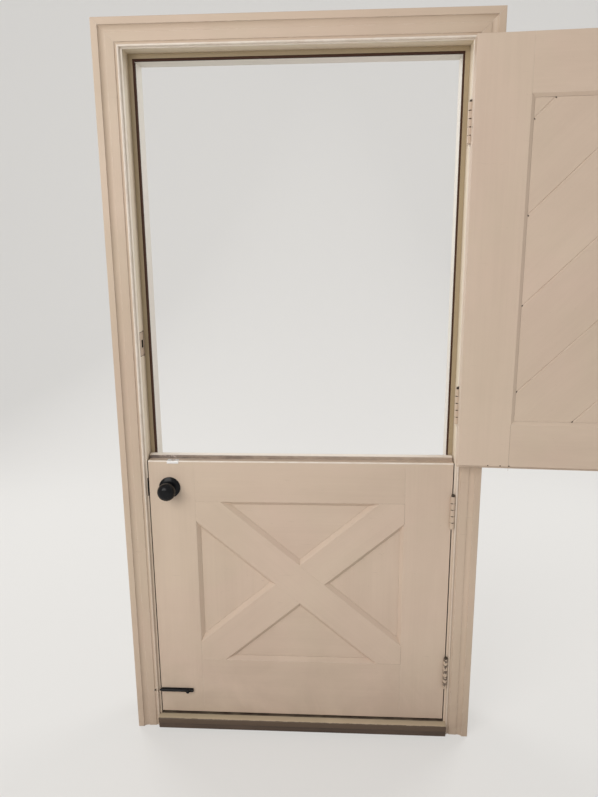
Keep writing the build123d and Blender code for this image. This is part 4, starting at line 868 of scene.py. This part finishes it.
class DOOR_OT_paint_leaves(bpy.types.Operator):
    """Paint both leaves along their members"""

    bl_idname = "door.paint_leaves"
    bl_label = "Paint Leaves"

    def execute(self, context):
        settings = context.scene.door_paint
        # On the lower leaf's top edge: painted shade on the riser, rubs beside the bolt, and wear with a
        # painted highlight on top
        ledge = ((riser_shade, RISER_SHADE), (bolt_marks, BOLT_RUB), (top_wear_and_highlight, settings.bare[:]))
        for name, turn, pieces, marks in (
            ("leaf_paint_upright", 0.0, LEAF_UPRIGHTS, ()),
            ("leaf_paint_level", LEVEL_TURN, LEAF_LEVELS, ()),
            ("leaf_paint_rising", BRACE_TURN, ("lower_rising_brace",), ()),
            ("leaf_paint_falling", -BRACE_TURN, ("lower_falling_brace",), ()),
            ("leaf_paint_ledge_upright", 0.0, ("lower_hinge_stile", "lower_lock_stile"), ledge),
            ("leaf_paint_ledge_level", LEVEL_TURN, ("lower_top_rail",), ledge),
            ("leaf_paint_boards", BOARD_TURN, UPPER_BOARDS, ()),
        ):
            material = painted(settings, name, settings.leaf[:], pieces, marks, turn=turn)
        groove_fills("board_grooves", material)
        return {"FINISHED"}


class DOOR_OT_paint_frame(bpy.types.Operator):
    """Paint the jambs, stops, casings and threshold"""

    bl_idname = "door.paint_frame"
    bl_label = "Paint Frame"

    def execute(self, context):
        settings = context.scene.door_paint
        # pale, the bare colour, is laid on here as painted highlight; the jamb colour is paler than the
        # casings' as painted light
        colour, jamb, pale = settings.frame[:], settings.jamb[:], settings.bare[:]
        jamb_marks = ((low_jamb_no_painted_light, colour), (front_edge_highlight, pale), (gap_dirt_and_shade, GAP_SHADE_AND_DIRT), (strike_hole_shade, STRIKE_HOLE_SHADE))
        for name, base, turn, pieces, marks in (
            ("casing_paint_upright", colour, 0.0, ("left_casing", "right_casing"), ((upright_bead_highlight, pale),)),
            ("casing_paint_level", colour, LEVEL_TURN, ("head_casing",), ((level_bead_highlight, pale),)),
            ("jamb_paint_upright", jamb, 0.0, ("hinge_jamb", "strike_jamb"), jamb_marks),
            ("jamb_paint_level", jamb, LEVEL_TURN, ("head_jamb",), ((front_edge_highlight, pale),)),
        ):
            painted(settings, name, base, pieces, marks, turn=turn, rubbed=0.8)
        painted(settings, "stop_paint", settings.stops[:], ("door_stops",),
                ((stop_front_shade, settings.stop_front_shade[:]),), streaks=0.08, blotches=0.16)
        # On the threshold: dirt and painted shade under the closed leaf, and front faces coloured like the
        # sill
        threshold_marks = ((threshold_dirt_and_shade, GAP_SHADE_AND_DIRT), (threshold_dark_front, context.scene.door_metal.sill[:]))
        painted(settings, "threshold_paint", settings.threshold[:], ("threshold",), threshold_marks, turn=LEVEL_TURN,
                streaks=0.3, blotches=0.5, grime=0.3, scuffs=0.6, rubbed=0.5, reach=0.09)
        return {"FINISHED"}


class DOOR_OT_finish_outside(bpy.types.Operator):
    """Paint the outer moulding and stain the sill"""

    bl_idname = "door.finish_outside"
    bl_label = "Finish Outside"

    def execute(self, context):
        settings = context.scene.door_paint
        for name, turn, grime, pieces in (
            ("outer_paint_upright", 0.0, 0.5, ("left_outer_moulding", "right_outer_moulding")),
            ("outer_paint_level", LEVEL_TURN, 0.3, ("head_outer_moulding",)),
        ):
            painted(settings, name, settings.outer[:], pieces, turn=turn, streaks=0.12, blotches=0.12,
                    grime=grime)
        dress(stained_timber("stained_sill", context.scene.door_metal.sill[:], settings), "sill")
        return {"FINISHED"}


class DOOR_OT_finish_metal(bpy.types.Operator):
    """Finish the knobs, bolts, hinges, strikes and weatherstrips"""

    bl_idname = "door.finish_metal"
    bl_label = "Finish Metal"

    def execute(self, context):
        settings, coat = context.scene.door_metal, context.scene.door_paint
        black = metal("black_lacquer", settings.black[:], (0.022, 0.021, 0.022, 1.0), 0.22, wear=0.12,
                      smudges=0.12, specular=0.17)
        dress(black, *BLACK_PIECES)
        steel = metal("worn_steel", settings.steel[:], (0.93, 0.92, 0.91, 1.0), 0.40, 0.45, wear=0.5,
                      smudges=0.2)
        dress(steel, *STEEL_PIECES)
        pin = metal("pin_bronze", settings.pin[:], (0.30, 0.22, 0.15, 1.0), 0.42, 0.6, wear=0.5, smudges=0.25)
        dress(pin, "hinge_pins")
        strip = metal("strip_bronze", settings.strip[:], (0.09, 0.06, 0.045, 1.0), 0.75, smudges=0.2,
                      specular=0.06)
        dress(strip, *STRIPS)
        bottom_seal("bottom_seal", strip)
        for name, scuffs, pieces, mark in (
            ("painted_plates", 0.5, HINGE_PLATES, (low_hinge_chips, GAP_SHADE_AND_DIRT)),
            ("painted_strike", 0.8, ("deadbolt_strike",), (strike_hole_shade, STRIKE_HOLE_SHADE)),
        ):
            painted(coat, name, coat.frame[:], pieces, (mark,), streaks=0.22, blotches=0.5, rubbed=0.9,
                    scuffs=scuffs)
        return {"FINISHED"}


class DOOR_OT_add_screws(bpy.types.Operator):
    """Put screw heads in the hinges, strikes, faceplates, keeper and plates"""

    bl_idname = "door.add_screws"
    bl_label = "Add Screws"

    def execute(self, context):
        radius = context.scene.door_metal.screw_radius
        jamb = hinge_screws(UPPER_HINGES + LOWER_HINGES, JAMB_FACE, (-1, 0, 0), 0.7)
        screw_heads("jamb_hinge_screws", jamb, radius, "frame", "painted_hinge")
        upper = hinge_screws(UPPER_HINGES, LEAF_EDGE, (1, 0, 0), 1.0)
        screw_heads("upper_hinge_screws", upper, radius, "upper_leaf", "painted_hinge")
        lower = hinge_screws(LOWER_HINGES, LEAF_EDGE, (1, 0, 0), 1.0)
        screw_heads("lower_hinge_screws", lower, radius, "lower_leaf", "painted_hinge")
        for name, body, slot_name, share, middle, reach, way, turns in SCREW_PAIRS:
            middle, reach = Vector(middle), Vector(reach)
            pair = [(middle - reach, way, turns[0]), (middle + reach, way, turns[1])]
            screw_heads(name, pair, radius * share, body, slot_name)
        return {"FINISHED"}


class DOOR_OT_add_joint_lines(bpy.types.Operator):
    """Draw the hairlines at the joints, and the painted shade at the ends of the grooves"""

    bl_idname = "door.add_joint_lines"
    bl_label = "Add Joint Lines"

    def execute(self, context):
        settings = context.scene.door_metal
        dark = metal("joint_dirt", settings.line[:], (0.38, 0.28, 0.20, 1.0), 0.8, wear=0.6, smudges=0.2,
                     specular=0.2)
        # hollow: a dark finish for painted shade at the groove ends and between the knuckles, and for the
        # nicks and cracked paint round the strike
        hollow = metal("groove_end_shadow", (0.050, 0.034, 0.025, 1.0), (0.10, 0.07, 0.05, 1.0), 0.9,
                       smudges=0.1, specular=0.2)
        hairlines("lower_joint_lines", lower_joint_runs(), settings.line_width, "lower_leaf", dark)
        hairlines("upper_joint_lines", upper_joint_runs(), settings.line_width, "upper_leaf", dark)
        hairlines("groove_ends", groove_end_shade_runs(), 0.0034, "upper_leaf", hollow)
        hairlines("upper_edge_nicks", nick_runs(), 0.004, "upper_leaf", hollow)
        knuckle_gaps("knuckle_gaps", UPPER_HINGES + LOWER_HINGES, hollow)
        sides, ends, chips = strike_edge_runs()
        hairlines("strike_edge_sides", sides, 0.0010, "frame", hollow)
        hairlines("strike_edge_ends", ends, 0.0016, "frame", hollow)
        hairlines("strike_edge_chips", chips, 0.0024, "frame", dark)
        return {"FINISHED"}


def area_lamp(name, power, at, towards, size, colour):
    """A large soft lamp that the camera doesn't see."""
    light = bpy.data.lights.new(name, "AREA")
    light.shape, light.size, light.energy, light.color = "SQUARE", size, power, colour
    lamp = bpy.data.objects.new(name, light)
    lamp.location = at
    lamp.rotation_euler = (Vector(towards) - Vector(at)).to_track_quat("-Z", "Y").to_euler()
    lamp.visible_camera = False
    bpy.context.scene.collection.objects.link(lamp)


def sweep_mesh():
    """A floor that curves up into a backdrop behind the door."""
    start, steps = SWEEP_FAR - SWEEP_BEND, 16
    profile = [(SWEEP_NEAR, 0.0), (start, 0.0)]
    for step in range(1, steps + 1):
        angle = math.pi / 2 * step / steps
        profile.append((start + SWEEP_BEND * math.sin(angle), SWEEP_BEND - SWEEP_BEND * math.cos(angle)))
    profile.append((SWEEP_FAR, SWEEP_HEIGHT))
    verts = [(x, y, z) for y, z in profile for x in (-SWEEP_HALF, SWEEP_HALF)]
    faces = [(2 * i, 2 * i + 1, 2 * i + 3, 2 * i + 2) for i in range(len(profile) - 1)]
    mesh = bpy.data.meshes.new("studio_sweep")
    mesh.from_pydata(verts, [], faces)
    mesh.shade_smooth()
    return mesh


def pale_floor(settings):
    """The floor's finish: it lights the door as it is, and looks even and lit to the camera."""
    material, tree, shader = new_material("pale_floor")
    rays = place(tree, "ShaderNodeLightPath").outputs
    mirrored = maths(tree, "MAXIMUM", rays["Is Glossy Ray"], rays["Is Transmission Ray"])
    seen = maths(tree, "MAXIMUM", rays["Is Camera Ray"], mirrored)
    floor = settings.floor[:]
    give(tree, shader.inputs, {
        "Base Color": mixed(tree, seen, floor, (*(part * FLOOR_SEEN_SHARE for part in floor[:3]), 1.0)),
        "Roughness": 0.85,
        "Emission Color": (1.0, 0.985, 0.96, 1.0),
        "Emission Strength": product(tree, seen, settings.backdrop_glow),
    })
    return material


def photo_camera(lens):
    """The camera where the photograph was taken from, with its turns."""
    data = bpy.data.cameras.new("photo_view")
    data.lens, data.sensor_width = lens, 36.0
    data.clip_start, data.clip_end = 0.05, 60.0
    camera = bpy.data.objects.new("photo_view", data)
    bpy.context.scene.collection.objects.link(camera)
    ahead = Vector((math.sin(YAW) * math.cos(PITCH), math.cos(YAW) * math.cos(PITCH), -math.sin(PITCH)))
    right = Vector((math.cos(YAW), -math.sin(YAW), 0.0))
    down = ahead.cross(right)
    rolled_right = right * math.cos(ROLL) + down * math.sin(ROLL)
    rolled_down = down * math.cos(ROLL) - right * math.sin(ROLL)
    turn = Matrix((rolled_right, -rolled_down, -ahead)).transposed()
    camera.matrix_world = Matrix.Translation(CAMERA_AT) @ turn.to_4x4()
    return camera


class DOOR_OT_set_stage(bpy.types.Operator):
    """Set up the pale floor and backdrop, soft lamps and the camera"""

    bl_idname = "door.set_stage"
    bl_label = "Set Stage"

    def execute(self, context):
        scene, settings = context.scene, context.scene.door_stage
        sweep = bpy.data.objects.new("studio_sweep", sweep_mesh())
        scene.collection.objects.link(sweep)
        sweep.data.materials.append(pale_floor(settings))

        world = bpy.data.worlds.new("soft_room")
        scene.world = world
        world.use_nodes = True
        tree = world.node_tree
        seen = place(tree, "ShaderNodeLightPath").outputs["Is Camera Ray"]
        give(tree, tree.nodes["Background"].inputs, {
            "Color": (1.0, 0.985, 0.965, 1.0),
            "Strength": ranged(tree, seen, 0.0, 1.0, settings.world_light, settings.far_glow),
        })

        for name, setting, at, towards, size, colour in LAMPS:
            area_lamp(name, getattr(settings, setting), at, towards, size, colour)
        scene.camera = photo_camera(settings.lens)
        scene.view_settings.view_transform = "Standard"
        return {"FINISHED"}


class DOOR_PT_finish(bpy.types.Panel):
    """Lists the steps and settings of the door's finish"""

    bl_idname = "DOOR_PT_finish"
    bl_label = "Stable Door Finish"
    bl_space_type = "VIEW_3D"
    bl_region_type = "UI"
    bl_category = "Stable Door"

    def draw(self, context):
        for group in (context.scene.door_paint, context.scene.door_metal, context.scene.door_stage):
            box = self.layout.box()
            for name in group.__annotations__:
                box.prop(group, name)
        for operator in OPERATORS:
            self.layout.operator(operator.bl_idname)


OPERATORS = (
    DOOR_OT_paint_leaves, DOOR_OT_paint_frame, DOOR_OT_finish_outside, DOOR_OT_finish_metal,
    DOOR_OT_add_screws, DOOR_OT_add_joint_lines, DOOR_OT_set_stage,
)
CLASSES = (DoorPaintSettings, DoorMetalSettings, DoorStageSettings, *OPERATORS, DOOR_PT_finish)


def register():
    """Registers the settings, operators and panel."""
    for item in CLASSES:
        bpy.utils.register_class(item)
    bpy.types.Scene.door_paint = PointerProperty(type=DoorPaintSettings)
    bpy.types.Scene.door_metal = PointerProperty(type=DoorMetalSettings)
    bpy.types.Scene.door_stage = PointerProperty(type=DoorStageSettings)


def unregister():
    """Takes the settings, operators and panel away again."""
    for name in ("door_stage", "door_metal", "door_paint"):
        delattr(bpy.types.Scene, name)
    for item in reversed(CLASSES):
        bpy.utils.unregister_class(item)


def main():
    """Runs every step in order."""
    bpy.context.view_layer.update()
    register()
    bpy.ops.door.paint_leaves()
    bpy.ops.door.paint_frame()
    bpy.ops.door.finish_outside()
    bpy.ops.door.finish_metal()
    bpy.ops.door.add_screws()
    bpy.ops.door.add_joint_lines()
    bpy.ops.door.set_stage()


if __name__ == "__main__":
    main()
